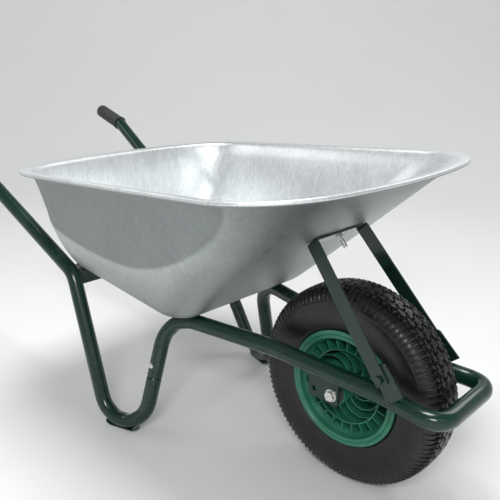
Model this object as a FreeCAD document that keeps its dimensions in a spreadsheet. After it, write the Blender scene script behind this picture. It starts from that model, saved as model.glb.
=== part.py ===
"""Builder's wheelbarrow: galvanised tray on a bent tube frame, with one pneumatic wheel.

Millimetres. +X points forward to the wheel, +Y to the left, +Z up. The origin is on the ground
in the middle of the barrow's length and width. Places on the frame are given from the axle:
forward of it, to the left, and above the ground.
"""
import FreeCAD
import Part
import Sketcher
import math
import os
import re

doc = FreeCAD.newDocument("Wheelbarrow")
sheet = doc.addObject("Spreadsheet::Sheet", "Dimensions")

DIMENSIONS = {
    # Tubes and sheet
    "tube_diameter": 32, "tube_wall": 1.5, "sheet_thickness": 0.9, "bar_thickness": 4,
    # Wheel
    "axle_forward": 464.9, "axle_height": 195, "axle_diameter": 10, "tyre_radius": 195,
    "tyre_half_width": 49, "tyre_wall": 6, "tube_ring_radius": 143, "tube_section_radius": 30,
    "tube_rubber": 2, "rim_flange_radius": 112.3, "bead_seat_radius": 101.6, "rim_half_width": 46,
    "rim_ring_radius": 72, "rim_ring_wall": 2.5, "rim_ring_width": 68, "hub_radius": 22,
    "hub_half_length": 66, "bush_radius": 15, "bush_bore": 10.12, "bush_depth": 24,
    "bush_flange": 3, "spoke_count": 12, "spoke_width": 60, "spoke_root_radius": 20.5,
    "spoke_sweep": 52, "spoke_half_thickness": 1.2, "rib_count": 24, "rib_width": 72,
    "rib_half_thickness": 1, "rib_outer_radius": 91,
    # Valve
    "valve_angle": 215, "valve_root_radius": 96, "valve_root_left": 8, "valve_tip_radius": 80.5,
    "valve_tip_left": 50, "valve_radius": 4, "valve_length": 30, "nipple_radius": 2.9,
    "nipple_length": 40, "valve_hole_radius": 4.3, "valve_hole_depth": 24, "cap_start": 33,
    "cap_radius": 4.2, "cap_length": 10, "cap_bore": 3, "cap_depth": 7.2,
    # Front frame tube
    "front_reach": 218.2, "front_half_width": 91.3, "front_bar_height": 233.4,
    "front_bend": 38, "rail_slope": 0.0505, "rail_rear_break": 129, "rail_rear_half_width": 91,
    "rail_front_break": 112, "rail_narrow_half_width": 80.2, "soft_bend": 300,
    "leg_top_back": 373, "leg_top_half_width": 142.5, "leg_top_height": 262.5, "leg_top_bend": 78,
    # Handle tube and leg
    "leg_corner_back": 397, "leg_corner_half_width": 250, "leg_corner_drop": 154.6, "leg_bend": 63.5,
    "leg_joint_height": 128, "spigot_length": 50, "spigot_gap": 0.15, "neck_length": 8,
    "screw_rise": 24, "knee_back": 619, "knee_half_width": 208, "knee_height": 305.5,
    "knee_bend": 80, "grip_bend_back": 1054, "grip_bend_half_width": 253.2,
    "grip_bend_height": 558.8, "grip_bend": 70, "grip_run": 106, "grip_slope": 16,
    "grip_splay": 0.065, "grip_length": 108, "grip_diameter": 37, "grip_gap": 0.25,
    "grip_collar": 1.5, "grip_collar_length": 4, "grip_end": 4, "grip_chamfer": 3,
    "foot_plate_thickness": 3, "foot_plate_width": 18, "foot_plate_half_flat": 28,
    "foot_plate_half_length": 42, "foot_plate_turn_up": 7, "foot_plate_corner": 7,
    # Tray
    "floor_rear_back": 655, "floor_front_back": 281, "floor_rear_height": 313,
    "floor_front_height": 275.2, "floor_rear_half_width": 190, "floor_front_half_width": 197,
    "floor_rear_corner": 50, "floor_front_corner": 58, "rim_rear_back": 729,
    "rim_front_reach": 87, "rim_rear_height": 536, "rim_front_height": 596.7,
    "rim_rear_half_width": 312, "rim_front_half_width": 341, "rim_rear_corner": 148,
    "rim_front_corner": 154, "rim_front_bulge": 16.5, "rim_rear_bulge": 17.8,
    "rim_side_bulge": 1.7, "rim_bead_diameter": 9, "rim_flange_width": 17, "rim_drop": 2,
    "rim_ledge_width": 6, "wall_head_step": 4, "wall_bulge": 13, "foot_inset": 1, "foot_lift": 6,
    "foot_radius": 11,
    # Crossbar and strap under the tray
    "crossbar_rear_back": 651, "crossbar_front_back": 611, "crossbar_bottom": 277,
    "crossbar_thickness": 3, "crossbar_trim": 10, "strap_rear_back": 338, "strap_front_back": 313,
    "strap_length": 262, "floor_gap": 0.1,
    # Strut and brackets
    "strut_half_width": 78, "strut_bar_width": 26, "strut_arm_length": 268, "strut_bolt_back": 59,
    "strut_hole_inset": 10, "strut_splay": 23.5, "strut_outer_fold": 6, "strut_inner_fold": 2,
    "strut_end_corner": 5, "strut_gap": 0.15, "tab_width": 28, "tab_offset": 6, "tab_bottom": 300,
    "tab_top": 236, "tab_flare": 3, "tab_corner": 7, "tab_gap": 0.12, "bracket_inner_face": 72,
    "bracket_thickness": 5, "bracket_hole": 10.5, "spare_hole_back": 38, "bracket_front": 15,
    "bracket_rear": 51, "bracket_top": 46, "bracket_front_drop": 20, "bracket_rear_drop": 15,
    "bracket_corner": 5,
    # Fasteners
    "bolt_diameter": 8, "bolt_hole": 8.6, "bolt_flats": 13, "bolt_head": 5.3, "nut_height": 6.5,
    "dome_diameter": 18, "dome_height": 4.5, "wall_dome_diameter": 20, "rear_bolt_back": 632,
    "rear_bolt_left": 110, "front_bolt_back": 325.5, "front_bolt_left": 100,
    "floor_bolt_length": 20, "wall_bolt_length": 32, "tab_bolt_length": 22, "screw_diameter": 6,
    "screw_length": 9, "screw_head_diameter": 12, "screw_head_height": 3.2, "axle_flats": 17,
    "axle_bolt_length": 171, "axle_head": 6.4, "axle_nut_height": 8.4, "axle_gap": 0.6,
    "outer_washer_diameter": 24, "outer_washer_thickness": 2, "inner_washer_diameter": 22,
    "inner_washer_thickness": 2.6,
}

# How far up the walls their sections stand, and the shape of their outward bulge, which this
# factor makes 1 at its highest, a third of the way up
WALL_SHARES = [0.1, 0.25, 0.45, 0.7]
BULGE_SHAPE = 6.75
# The sheet's thickness measured level and measured square to the sloping front wall
LEVEL_THICKNESS = 1.4
SQUARE_THICKNESS = 1.68
# How far along its sides a corner curve's handles reach, for a curve close to a circle's arc
CORNER_HANDLE = 0.552
# The place of the bolt holes down the splayed arms of the strut
ARM_HOLE = ("( strut_arm_length - strut_hole_inset ) * sqrt( strut_arm_length ^ 2"
            " + strut_splay ^ 2 ) / strut_arm_length")

for row, (alias, number) in enumerate(DIMENSIONS.items(), start=1):
    sheet.set(f"A{row}", alias)
    sheet.set(f"B{row}", str(number))
    sheet.setAlias(f"B{row}", alias)
doc.recompute()

LEFT = 1
RIGHT = -1
LATERAL = FreeCAD.Vector(0, 1, 0)
UPRIGHT = FreeCAD.Rotation()
nodes = {}


def size(alias):
    """The number in a cell of the sheet."""
    return float(sheet.get(alias))


def value(expression):
    """The number that an expression in the sheet's names gives."""
    return float(sheet.evalExpression(in_sheet(expression)))


def in_sheet(expression):
    """The expression with each alias written as a cell of the sheet."""
    return re.sub(r"[a-z_]+", lambda word: ("Dimensions." if word[0] in DIMENSIONS else "")
                  + word[0], str(expression))


def from_axle(forward, left, height):
    """A point given forward and left of the axle's middle and above the ground."""
    return FreeCAD.Vector(size("axle_forward") + forward, left, height)


def node(name, shape_object):
    """Make an object one of the wheelbarrow's pieces."""
    shape_object.Label = name
    nodes[name] = shape_object
    return shape_object


def frame_at(origin, along_x, along_y):
    """Placement with its own X and Y axes along two square directions."""
    along_z = along_x.cross(along_y)
    return FreeCAD.Placement(origin, FreeCAD.Rotation(along_x, along_y, along_z, "ZXY"))


# ---------------------------------------------------------------- general builders

def primitive(kind, name, placement=None, **sizes):
    """A Part primitive whose sizes are bound to the sheet."""
    shape_object = doc.addObject(kind, name)
    for prop, expression in sizes.items():
        if isinstance(expression, str):
            shape_object.setExpression(prop, in_sheet(expression))
        else:
            setattr(shape_object, prop, expression)
    if placement:
        shape_object.Placement = placement
    return shape_object


def cut(name, base, *tools):
    """The base with one or more tools taken away."""
    for count, tool in enumerate(tools, start=1):
        result = doc.addObject("Part::Cut", name if count == len(tools) else f"{name}_step{count}")
        result.Base = base
        result.Tool = tool
        base = result
    return base


def fuse(name, *pieces):
    result = doc.addObject("Part::MultiFuse", name)
    result.Shapes = list(pieces)
    return result


def mirrored(name, source):
    """The same piece on the barrow's right side."""
    result = doc.addObject("Part::Mirroring", name)
    result.Source = source
    result.Normal = LATERAL
    return result


def both_sides(name, source):
    """A left-hand piece and its mirror image as one group of separate solids."""
    group = doc.addObject("Part::Compound", name)
    group.Links = [source, mirrored(f"{name}_right", source)]
    return node(name, group)


def left_and_right(name, source):
    """A left-hand piece and its mirror image as two nodes."""
    node(f"left_{name}", source)
    return node(f"right_{name}", mirrored(f"right_{name}", source))


def new_body(name, placement=None):
    body = doc.addObject("PartDesign::Body", name)
    if placement:
        body.Placement = placement
    return body


def new_sketch(body, name, role="XY_Plane", offset=None):
    """A sketch on one of the body's own origin planes."""
    plane = [item for item in body.Origin.OriginFeatures if item.Role == role][0]
    sketch = body.newObject("Sketcher::SketchObject", f"{body.Name}_{name}")
    sketch.AttachmentSupport = [(plane, "")]
    sketch.MapMode = "FlatFace"
    if offset:
        sketch.AttachmentOffset = FreeCAD.Placement(offset, UPRIGHT)
    return sketch


def pin(sketch, geometry, end, across, up):
    """Hold one point of a sketch at a place given by two expressions."""
    for kind, axis, expression in (("DistanceX", -2, across), ("DistanceY", -1, up)):
        number = value(expression)
        if abs(number) < 1e-6:
            sketch.addConstraint(Sketcher.Constraint("PointOnObject", geometry, end, axis))
            continue
        index = sketch.addConstraint(Sketcher.Constraint(kind, -1, 1, geometry, end, number))
        sketch.setExpression(f"Constraints[{index}]", in_sheet(expression))


def outline(sketch, corners):
    """A closed outline of straight lines with every corner pinned by expressions."""
    points = [FreeCAD.Vector(value(across), value(up), 0) for across, up in corners]
    lines = []
    for start, end in zip(points, points[1:] + points[:1]):
        lines.append(sketch.addGeometry(Part.LineSegment(start, end), False))
    for index, line in enumerate(lines):
        following = lines[(index + 1) % len(lines)]
        sketch.addConstraint(Sketcher.Constraint("Coincident", line, 2, following, 1))
    for line, (across, up) in zip(lines, corners):
        pin(sketch, line, 1, across, up)


def disc(sketch, diameter, across="0", up="0"):
    """A circle of a diameter, centred at a place."""
    centre = FreeCAD.Vector(value(across), value(up), 0)
    circle = Part.Circle(centre, FreeCAD.Vector(0, 0, 1), value(diameter) / 2)
    index = sketch.addGeometry(circle, False)
    pin(sketch, index, 3, across, up)
    constraint = sketch.addConstraint(Sketcher.Constraint("Diameter", index, value(diameter)))
    sketch.setExpression(f"Constraints[{constraint}]", in_sheet(diameter))


def pad(body, sketch, length, both_ways=False, reverse=False):
    feature = body.newObject("PartDesign::Pad", f"{sketch.Name}_pad")
    feature.Profile = sketch
    feature.setExpression("Length", in_sheet(length))
    if both_ways:
        feature.SideType = "Symmetric"
    feature.Reversed = reverse
    return feature


def pocket_through(body, sketch):
    """A hole straight through the body both ways from the sketch."""
    doc.recompute()
    before = body.Shape.Volume
    feature = body.newObject("PartDesign::Pocket", f"{sketch.Name}_pocket")
    feature.Profile = sketch
    feature.SideType = "Symmetric"
    feature.Type = "ThroughAll"
    doc.recompute()
    if body.Shape.Volume > before - 1:
        raise RuntimeError(f"{feature.Name} cut nothing")
    return feature


def revolve(body, sketch, axis="V_Axis"):
    """The sketch turned right round one of its own axes."""
    feature = body.newObject("PartDesign::Revolution", f"{sketch.Name}_revolution")
    feature.Profile = sketch
    feature.ReferenceAxis = (sketch, [axis])
    feature.Angle = 360
    return feature


def polar(body, feature, sketch, count):
    """Copies of a feature all round the normal of its sketch."""
    pattern = body.newObject("PartDesign::PolarPattern", f"{feature.Name}_pattern")
    pattern.Originals = [feature]
    pattern.Axis = (sketch, ["N_Axis"])
    pattern.Angle = 360
    pattern.setExpression("Occurrences", in_sheet(count))
    body.Tip = pattern
    return pattern


def round_edges(body, radius, chosen):
    """A fillet on the edges that a test picks from the body's shape."""
    doc.recompute()
    base = body.Tip
    edges = [f"Edge{n}" for n, edge in enumerate(base.Shape.Edges, start=1) if chosen(edge)]
    feature = body.newObject("PartDesign::Fillet", f"{base.Name}_fillet")
    feature.Base = (base, edges)
    feature.setExpression("Radius", in_sheet(radius))
    return feature


# ---------------------------------------------------------------- bent tubes

def bend(before, corner, after, radius):
    """The start, middle, end and centre of the arc that rounds a corner of a tube's route."""
    back = (before - corner).normalize()
    onward = (after - corner).normalize()
    half = back.getAngle(onward) / 2
    centre = corner + (back + onward).normalize() * (radius / math.sin(half))
    start = corner + back * (radius / math.tan(half))
    end = corner + onward * (radius / math.tan(half))
    middle = centre + (corner - centre).normalize() * radius
    return start, middle, end, centre


def route(name, points, radii):
    """A tube's centre line: straight runs joined by tangent arcs."""
    edges = []
    start = points[0]
    for before, corner, after, radius in zip(points, points[1:], points[2:], radii):
        first, middle, last, _ = bend(before, corner, after, radius)
        edges.append(Part.LineSegment(start, first).toShape())
        edges.append(Part.Arc(first, middle, last).toShape())
        start = last
    edges.append(Part.LineSegment(start, points[-1]).toShape())
    spine = doc.addObject("Part::Feature", name)
    spine.Shape = Part.Wire(edges)
    return spine


def round_sweep(name, spine, radius):
    """A round bar along a spine."""
    first = spine.Shape.Edges[0]
    start = first.valueAt(first.FirstParameter)
    along = first.tangentAt(first.FirstParameter)
    turn = FreeCAD.Rotation(FreeCAD.Vector(0, 0, 1), along)
    section = primitive("Part::Circle", f"{name}_section", FreeCAD.Placement(start, turn),
                        Radius=radius)
    sweep = doc.addObject("Part::Sweep", name)
    sweep.Sections = [section]
    sweep.Spine = (spine, [f"Edge{n}" for n in range(1, len(spine.Shape.Edges) + 1)])
    sweep.Solid = True
    sweep.Frenet = False
    return sweep


def rail_point(forward, left):
    """A point on the front frame tube's side run, which rises evenly to the back."""
    rise = (size("front_reach") - forward) * size("rail_slope")
    return from_axle(forward, left, size("front_bar_height") + rise)


def leg_corner(side):
    return from_axle(-size("leg_corner_back"), side * size("leg_corner_half_width"),
                     -size("leg_corner_drop"))


def leg_top(side):
    return from_axle(-size("leg_top_back"), side * size("leg_top_half_width"),
                     size("leg_top_height"))


def on_front_arm(side, height):
    """The leg's front arm at a height above the ground."""
    low = leg_corner(side)
    high = leg_top(side)
    return low + (high - low) * ((height - low.z) / (high.z - low.z))


def side_run(side):
    """The front frame tube's corners from one leg joint to the front corner."""
    return [on_front_arm(side, size("leg_joint_height")),
            leg_top(side),
            rail_point(-size("rail_rear_break"), side * size("rail_rear_half_width")),
            rail_point(size("rail_front_break"), side * size("rail_narrow_half_width")),
            rail_point(size("front_reach"), side * size("front_half_width"))]


def front_frame_tube():
    points = side_run(LEFT) + side_run(RIGHT)[::-1]
    soft = size("soft_bend")
    radii = [size("leg_top_bend"), soft, soft, size("front_bend")]
    spine = route("front_frame_route", points, radii + radii[::-1])
    solid = round_sweep("front_frame_solid", spine, "tube_diameter / 2")
    bore = round_sweep("front_frame_bore", spine, "tube_diameter / 2 - tube_wall")
    tube = cut("front_frame_hollow", solid, bore)
    return solid, tube


def handle_route():
    """Grip end, grip bend, knee behind the tray, U-shaped foot, leg joint."""
    slope = math.radians(size("grip_slope"))
    grip_bend = from_axle(-size("grip_bend_back"), size("grip_bend_half_width"),
                          size("grip_bend_height"))
    grip_way = FreeCAD.Vector(-math.cos(slope), size("grip_splay"), math.sin(slope)).normalize()
    knee = from_axle(-size("knee_back"), size("knee_half_width"), size("knee_height"))
    points = [grip_bend + grip_way * size("grip_run"), grip_bend, knee, leg_corner(LEFT),
              on_front_arm(LEFT, size("leg_joint_height"))]
    radii = [size("grip_bend"), size("knee_bend"), size("leg_bend")]
    return points, radii


def handle_tube():
    points, radii = handle_route()
    spine = route("handle_route", points, radii)
    solid = round_sweep("handle_solid", spine, "tube_diameter / 2")
    bore = round_sweep("handle_bore", spine, "tube_diameter / 2 - tube_wall")
    up_arm = (leg_top(LEFT) - leg_corner(LEFT)).normalize()
    turn = FreeCAD.Rotation(FreeCAD.Vector(0, 0, 1), up_arm)
    seam = on_front_arm(LEFT, size("leg_joint_height"))
    neck_foot = FreeCAD.Placement(seam - up_arm * size("neck_length"), turn)
    neck = primitive("Part::Cone", "spigot_neck", neck_foot, Height="neck_length",
                     Radius1="tube_diameter / 2 - 0.5 * tube_wall",
                     Radius2="tube_diameter / 2 - tube_wall - spigot_gap")
    spigot = primitive("Part::Cylinder", "spigot", FreeCAD.Placement(seam, turn),
                       Radius="tube_diameter / 2 - tube_wall - spigot_gap", Height="spigot_length")
    bore_foot = FreeCAD.Placement(seam - up_arm * size("neck_length") * 1.25, turn)
    spigot_bore = primitive("Part::Cylinder", "spigot_bore", bore_foot,
                            Radius="tube_diameter / 2 - 2 * tube_wall",
                            Height="spigot_length + 2.5 * neck_length")
    whole = fuse("handle_with_spigot", cut("handle_hollow", solid, bore), neck, spigot)
    screw_hole = screw_hole_tool()
    return solid, cut("left_handle_tube", whole, spigot_bore, screw_hole)


def screw_placement():
    """Outside the leg joint's tube, pointing in through it."""
    up_arm = (leg_top(LEFT) - leg_corner(LEFT)).normalize()
    outward = FreeCAD.Vector(0, 1, 0) - up_arm * up_arm.y
    outward.normalize()
    centre = on_front_arm(LEFT, size("leg_joint_height")) + up_arm * size("screw_rise")
    surface = centre + outward * (size("tube_diameter") / 2 + 0.2)
    return FreeCAD.Placement(surface, FreeCAD.Rotation(FreeCAD.Vector(0, 0, 1), outward))


def screw_hole_tool():
    turned = screw_placement().multiply(FreeCAD.Placement(FreeCAD.Vector(0, 0, 2),
                                        FreeCAD.Rotation(FreeCAD.Vector(1, 0, 0), 180)))
    return primitive("Part::Cylinder", "leg_screw_hole", turned,
                     Radius="screw_diameter / 2 + 0.1", Height=14)


def leg_screws():
    """Dome-headed screws through the frame tube into the swaged end of each leg."""
    screw = dome_bolt("leg_screw", screw_placement(), "screw_diameter", "screw_length",
                      "screw_head_diameter", "screw_head_height")
    both_sides("leg_joint_screws", screw)


def grip_outline():
    """Half section of a grip: axis up the V axis, open end at the bottom."""
    outer = "grip_diameter / 2"
    inner = "tube_diameter / 2 + grip_gap"
    collar = f"{outer} + grip_collar"
    return [(inner, "0"), (collar, "0"), (collar, "grip_collar_length"),
            (outer, "grip_collar_length * 1.5"), (outer, "grip_length - grip_chamfer"),
            (f"{outer} - grip_chamfer", "grip_length"), ("0", "grip_length"),
            ("0", "grip_length - grip_end"), (inner, "grip_length - grip_end")]


def grip():
    points, _ = handle_route()
    way = (points[0] - points[1]).normalize()
    mouth = points[0] - way * value("grip_length - grip_end - floor_gap")
    body = new_body("grip", FreeCAD.Placement(mouth, FreeCAD.Rotation(LATERAL, way)))
    sketch = new_sketch(body, "section")
    outline(sketch, grip_outline())
    revolve(body, sketch)
    left_and_right("grip", body)


def foot_plates(handle_solid):
    """Skid plates under the U bends, flat on the ground, turned up at both ends."""
    points, radii = handle_route()
    first, middle, last, centre = bend(points[2], points[3], points[4], radii[2])
    normal = (first - centre).cross(last - centre).normalize()
    down = FreeCAD.Vector(0, 0, -1)
    lowest = centre + (down - normal * down.dot(normal)).normalize() * radii[2]
    along = FreeCAD.Vector(0, 0, 1).cross(normal).normalize()
    if along.x < 0:
        along = along * -1
    up = FreeCAD.Vector(0, 0, 1)
    body = new_body("foot_plate", frame_at(FreeCAD.Vector(lowest.x, lowest.y, 0), along, up))
    sketch = new_sketch(body, "profile")
    half = [("foot_plate_half_flat", "0"), ("foot_plate_half_length", "foot_plate_turn_up"),
            ("foot_plate_half_length - foot_plate_thickness / 2",
             "foot_plate_turn_up + foot_plate_thickness"),
            ("foot_plate_half_flat - foot_plate_thickness / 5", "foot_plate_thickness")]
    other = [(f"- ( {across} )", up_place) for across, up_place in half]
    outline(sketch, half + other[::-1])
    pad(body, sketch, "foot_plate_width", both_ways=True)
    round_edges(body, "foot_plate_corner", lambda edge: plate_corner(edge, 7))
    left_and_right("foot_plate", cut("foot_plate_fitted", body, handle_solid))


def plate_corner(edge, longest):
    """True for a short edge that runs nearly along the body's own Y axis."""
    run = edge.Vertexes[-1].Point - edge.Vertexes[0].Point
    return edge.Length < longest and abs(run.y) > 0.8 * edge.Length


# ---------------------------------------------------------------- fasteners

def hexagon_bolt(name, placement, diameter, length, across_flats, head):
    """A bolt whose head stands on its placement's +Z side and whose shank goes the other way."""
    turned = placement.multiply(FreeCAD.Placement(FreeCAD.Vector(),
                                FreeCAD.Rotation(FreeCAD.Vector(1, 0, 0), 180)))
    cap = primitive("Part::Prism", f"{name}_head", placement, Polygon=6,
                    Circumradius=f"( {across_flats} ) / sqrt(3)", Height=head)
    shank = primitive("Part::Cylinder", f"{name}_shank", turned,
                      Radius=f"( {diameter} ) / 2", Height=length)
    return fuse(name, cap, shank)


def hexagon_nut(name, placement, diameter, across_flats, height):
    block = primitive("Part::Prism", f"{name}_block", placement, Polygon=6,
                      Circumradius=f"( {across_flats} ) / sqrt(3)", Height=height)
    hole = primitive("Part::Cylinder", f"{name}_hole", placement,
                     Radius=f"( {diameter} ) / 2 + 0.05", Height=height)
    return cut(name, block, hole)


def washer(name, placement, hole_diameter, outer_diameter, thickness):
    ring = primitive("Part::Cylinder", f"{name}_ring", placement,
                     Radius=f"( {outer_diameter} ) / 2", Height=thickness)
    hole = primitive("Part::Cylinder", f"{name}_hole", placement,
                     Radius=f"( {hole_diameter} ) / 2", Height=thickness)
    return cut(name, ring, hole)


def dome_bolt(name, placement, diameter, length, head_diameter, head_height):
    """A round-headed bolt: its section is turned round the placement's Z axis."""
    spun = placement.multiply(FreeCAD.Placement(FreeCAD.Vector(),
                              FreeCAD.Rotation(FreeCAD.Vector(1, 0, 0), 90)))
    body = new_body(name, spun)
    sketch = new_sketch(body, "section")
    shank = f"( {diameter} ) / 2"
    outline(sketch, [("0", f"- ( {length} )"), (shank, f"- ( {length} )"), (shank, "0"),
                     (f"( {head_diameter} ) / 2", "0"),
                     (f"( {head_diameter} ) / 2.15", f"( {head_height} ) * 0.45"),
                     (f"( {head_diameter} ) / 3.2", f"( {head_height} ) * 0.85"),
                     ("0", head_height)])
    revolve(body, sketch)
    return body


# ---------------------------------------------------------------- tray

def tray_level(back_x, back_height, front_x, front_height, lift):
    """Height of a tilted tray plane at any place along the barrow."""
    slope = (front_height - back_height) / (front_x - back_x)
    return lambda along: back_height + (along - back_x) * slope + lift


def tray_outline(name, plan, inset, level):
    """Eight-edge closed wire: four slightly bowed sides joined by four smooth corners."""
    rear, front, rear_half, front_half, rear_corner, front_corner, bows = plan
    corners = [(rear + inset, inset - rear_half, rear_corner - inset),
               (front - inset, inset - front_half, front_corner - inset),
               (front - inset, front_half - inset, front_corner - inset),
               (rear + inset, rear_half - inset, rear_corner - inset)]
    outward = [(0, -1), (1, 0), (0, 1), (-1, 0)]
    sides = []
    for index in range(4):
        here = FreeCAD.Vector(*corners[index][:2], 0)
        there = FreeCAD.Vector(*corners[(index + 1) % 4][:2], 0)
        way = (there - here).normalize()
        start = here + way * tangent_length(corners, index)
        end = there - way * tangent_length(corners, (index + 1) % 4)
        bow = FreeCAD.Vector(*outward[index], 0) * max(bows[index], 0.01)
        sides.append([start, (start + end) * 0.5 + bow, end])
    edges = []
    for index, (start, middle, end) in enumerate(sides):
        arc = Part.Arc(start, middle, end)
        next_arc = Part.Arc(*sides[(index + 1) % 4])
        edges.append(on_level(arc, level))
        reach = CORNER_HANDLE * corners[(index + 1) % 4][2]
        leaving = arc.tangent(arc.LastParameter)[0]
        arriving = next_arc.tangent(next_arc.FirstParameter)[0]
        following = sides[(index + 1) % 4][0]
        curve = Part.BezierCurve()
        curve.setPoles([end, end + leaving * reach, following - arriving * reach, following])
        edges.append(on_level(curve, level))
    wire = doc.addObject("Part::Feature", name)
    wire.Shape = Part.Wire(edges)
    return wire


def tangent_length(corners, index):
    """How far from a corner its rounding starts."""
    here = FreeCAD.Vector(*corners[index][:2], 0)
    back = FreeCAD.Vector(*corners[index - 1][:2], 0) - here
    onward = FreeCAD.Vector(*corners[(index + 1) % 4][:2], 0) - here
    return corners[index][2] / math.tan(back.getAngle(onward) / 2)


def on_level(curve, level):
    """A flat plan curve lifted on to a tilted plane."""
    spline = curve.toBSpline()
    poles = [FreeCAD.Vector(pole.x, pole.y, level(pole.x)) for pole in spline.getPoles()]
    lifted = Part.BSplineCurve()
    lifted.buildFromPolesMultsKnots(poles, spline.getMultiplicities(), spline.getKnots(), False,
                                    spline.Degree, spline.getWeights())
    return lifted.toShape()


def floor_plan():
    axle = size("axle_forward")
    return (axle - size("floor_rear_back"), axle - size("floor_front_back"),
            size("floor_rear_half_width"), size("floor_front_half_width"),
            size("floor_rear_corner"), size("floor_front_corner"), (0, 0, 0, 0))


def rim_plan():
    axle = size("axle_forward")
    side = size("rim_side_bulge")
    bows = (side, size("rim_front_bulge"), side, size("rim_rear_bulge"))
    return (axle - size("rim_rear_back"), axle + size("rim_front_reach"),
            size("rim_rear_half_width"), size("rim_front_half_width"), size("rim_rear_corner"),
            size("rim_front_corner"), bows)


def floor_level(lift):
    axle = size("axle_forward")
    return tray_level(axle - size("floor_rear_back"), size("floor_rear_height"),
                      axle - size("floor_front_back"), size("floor_front_height"), lift)


def rim_level(lift):
    axle = size("axle_forward")
    return tray_level(axle - size("rim_rear_back"), size("rim_rear_height"),
                      axle + size("rim_front_reach"), size("rim_front_height"), lift)


def wall_section(foot, head, share):
    """Plan and level of the walls part of the way up, where they bulge a little outward."""
    _, foot_inset, foot_lift = foot
    _, head_inset, head_lift = head
    low = shrunk(floor_plan(), foot_inset)
    high = shrunk(rim_plan(), head_inset)
    plan = [below + (above - below) * share for below, above in zip(low[:6], high[:6])]
    back = floor_level(foot_lift)(low[0]) * (1 - share) + rim_level(head_lift)(high[0]) * share
    front = floor_level(foot_lift)(low[1]) * (1 - share) + rim_level(head_lift)(high[1]) * share
    level = tray_level(plan[0], back, plan[1], front, 0)
    bulge = size("wall_bulge") * BULGE_SHAPE * share * (1 - share) ** 2
    rear_x, front_x, rear_half, front_half, rear_corner, front_corner = plan
    bows = tuple(bow * share for bow in high[6])
    bulged = (rear_x - bulge, front_x, rear_half + bulge, front_half + bulge,
              rear_corner + bulge, front_corner + bulge / 2, bows)
    return bulged, 0, level


def shrunk(plan, inset):
    """A plan with all its sides moved in by an inset."""
    rear, front, rear_half, front_half, rear_corner, front_corner, bows = plan
    return (rear + inset, front - inset, rear_half - inset, front_half - inset,
            rear_corner - inset, front_corner - inset, bows)


def wall_ends(inset, lift):
    """Foot and head of a face of the walls: part of the tray, inset and lift above its plane."""
    foot = ("floor", size("foot_inset") + inset, size("foot_lift") + lift)
    head_lift = value("rim_bead_diameter / 2 - rim_drop - wall_head_step - sheet_thickness") + lift
    return foot, ("rim", wall_top() + inset, head_lift)


def wall_top():
    """How far in from the tray's outermost edge its walls start."""
    return value("rim_bead_diameter / 2 + rim_flange_width")


def rolled_rim():
    """Insets and lifts round the rolled bead's outer face, and back along its inner one."""
    roll = value("rim_bead_diameter / 2")
    drop = size("rim_drop")
    turns = [math.radians(degrees) for degrees in range(90, -151, -40)]
    faces = []
    for radius in (roll, roll - size("sheet_thickness")):
        faces.append([(roll - radius * math.cos(turn), radius * math.sin(turn) - drop)
                      for turn in turns])
    return [("rim", inset, lift) for inset, lift in faces[0] + faces[1][::-1]]


def tray_shell():
    """One sheet, followed from the floor's inside face up the walls, over the rolled rim and
    back down to the floor's underside."""
    thick = size("sheet_thickness")
    level_thick = LEVEL_THICKNESS * thick
    top = value("rim_bead_diameter / 2 - rim_drop")
    ledge = wall_top() - size("rim_ledge_width")
    floor_inset = value("foot_inset + foot_radius")
    inner = wall_ends(level_thick, thick)
    outer = wall_ends(0, 0)
    inner_wall = [("wall", inner, share) for share in WALL_SHARES]
    outer_wall = [("wall", outer, share) for share in WALL_SHARES]
    chain = [("floor", floor_inset + level_thick, thick), inner[0], *inner_wall, inner[1],
             ("rim", ledge, top), *rolled_rim(), ("rim", ledge, top - thick), outer[1],
             *outer_wall[::-1], outer[0], ("floor", floor_inset, 0)]
    sections = []
    for number, (part_of_tray, inset, lift) in enumerate(chain):
        if part_of_tray == "wall":
            plan, inset, level = wall_section(*inset, lift)
        elif part_of_tray == "floor":
            plan, level = floor_plan(), floor_level(lift)
        else:
            plan, level = rim_plan(), rim_level(lift)
        sections.append(tray_outline(f"tray_section{number}", plan, inset, level))
    shell = doc.addObject("Part::Loft", "tray_sheet")
    shell.Sections = sections
    shell.Solid = True
    shell.Ruled = True
    return shell


def front_wall_point(share):
    """The middle of the front wall's outer face, part of the way up."""
    plan, _, level = wall_section(*wall_ends(0, 0), share)
    front_bow = plan[6][1]
    forward = plan[1] + front_bow
    return FreeCAD.Vector(forward, 0, level(forward))


def strut_frame():
    """On the front wall's outer face: X to the left, Y down the arms, square to the wall."""
    low = front_wall_point(WALL_SHARES[-2])
    high = front_wall_point(WALL_SHARES[-1])
    up_wall = (high - low).normalize()
    reach = size("axle_forward") - size("strut_bolt_back") - low.x
    seat = low + up_wall * (reach / up_wall.x)
    down = FreeCAD.Vector(-up_wall.z, 0, up_wall.x) * -1
    return frame_at(seat + down * size("strut_gap"), LATERAL, down)


def floor_bolt_placement(back, left):
    """On the tray floor's upper face, square to it."""
    along = size("axle_forward") - back
    level = floor_level(value("sheet_thickness + floor_gap / 2"))
    slope = math.atan2(level(along) - level(along - 1), 1)
    turn = FreeCAD.Rotation(LATERAL, -math.degrees(slope))
    return FreeCAD.Placement(FreeCAD.Vector(along, left, level(along)), turn)


def strut_bolt_placement():
    """On the front wall's inner face, pointing into the tray."""
    frame = strut_frame()
    inward = frame.Rotation.multVec(FreeCAD.Vector(0, -1, 0))
    clear = size("sheet_thickness") * SQUARE_THICKNESS + 2 * size("strut_gap")
    seat = frame.Base + inward * clear
    return FreeCAD.Placement(seat, FreeCAD.Rotation(FreeCAD.Vector(0, 0, 1), inward))


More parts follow.
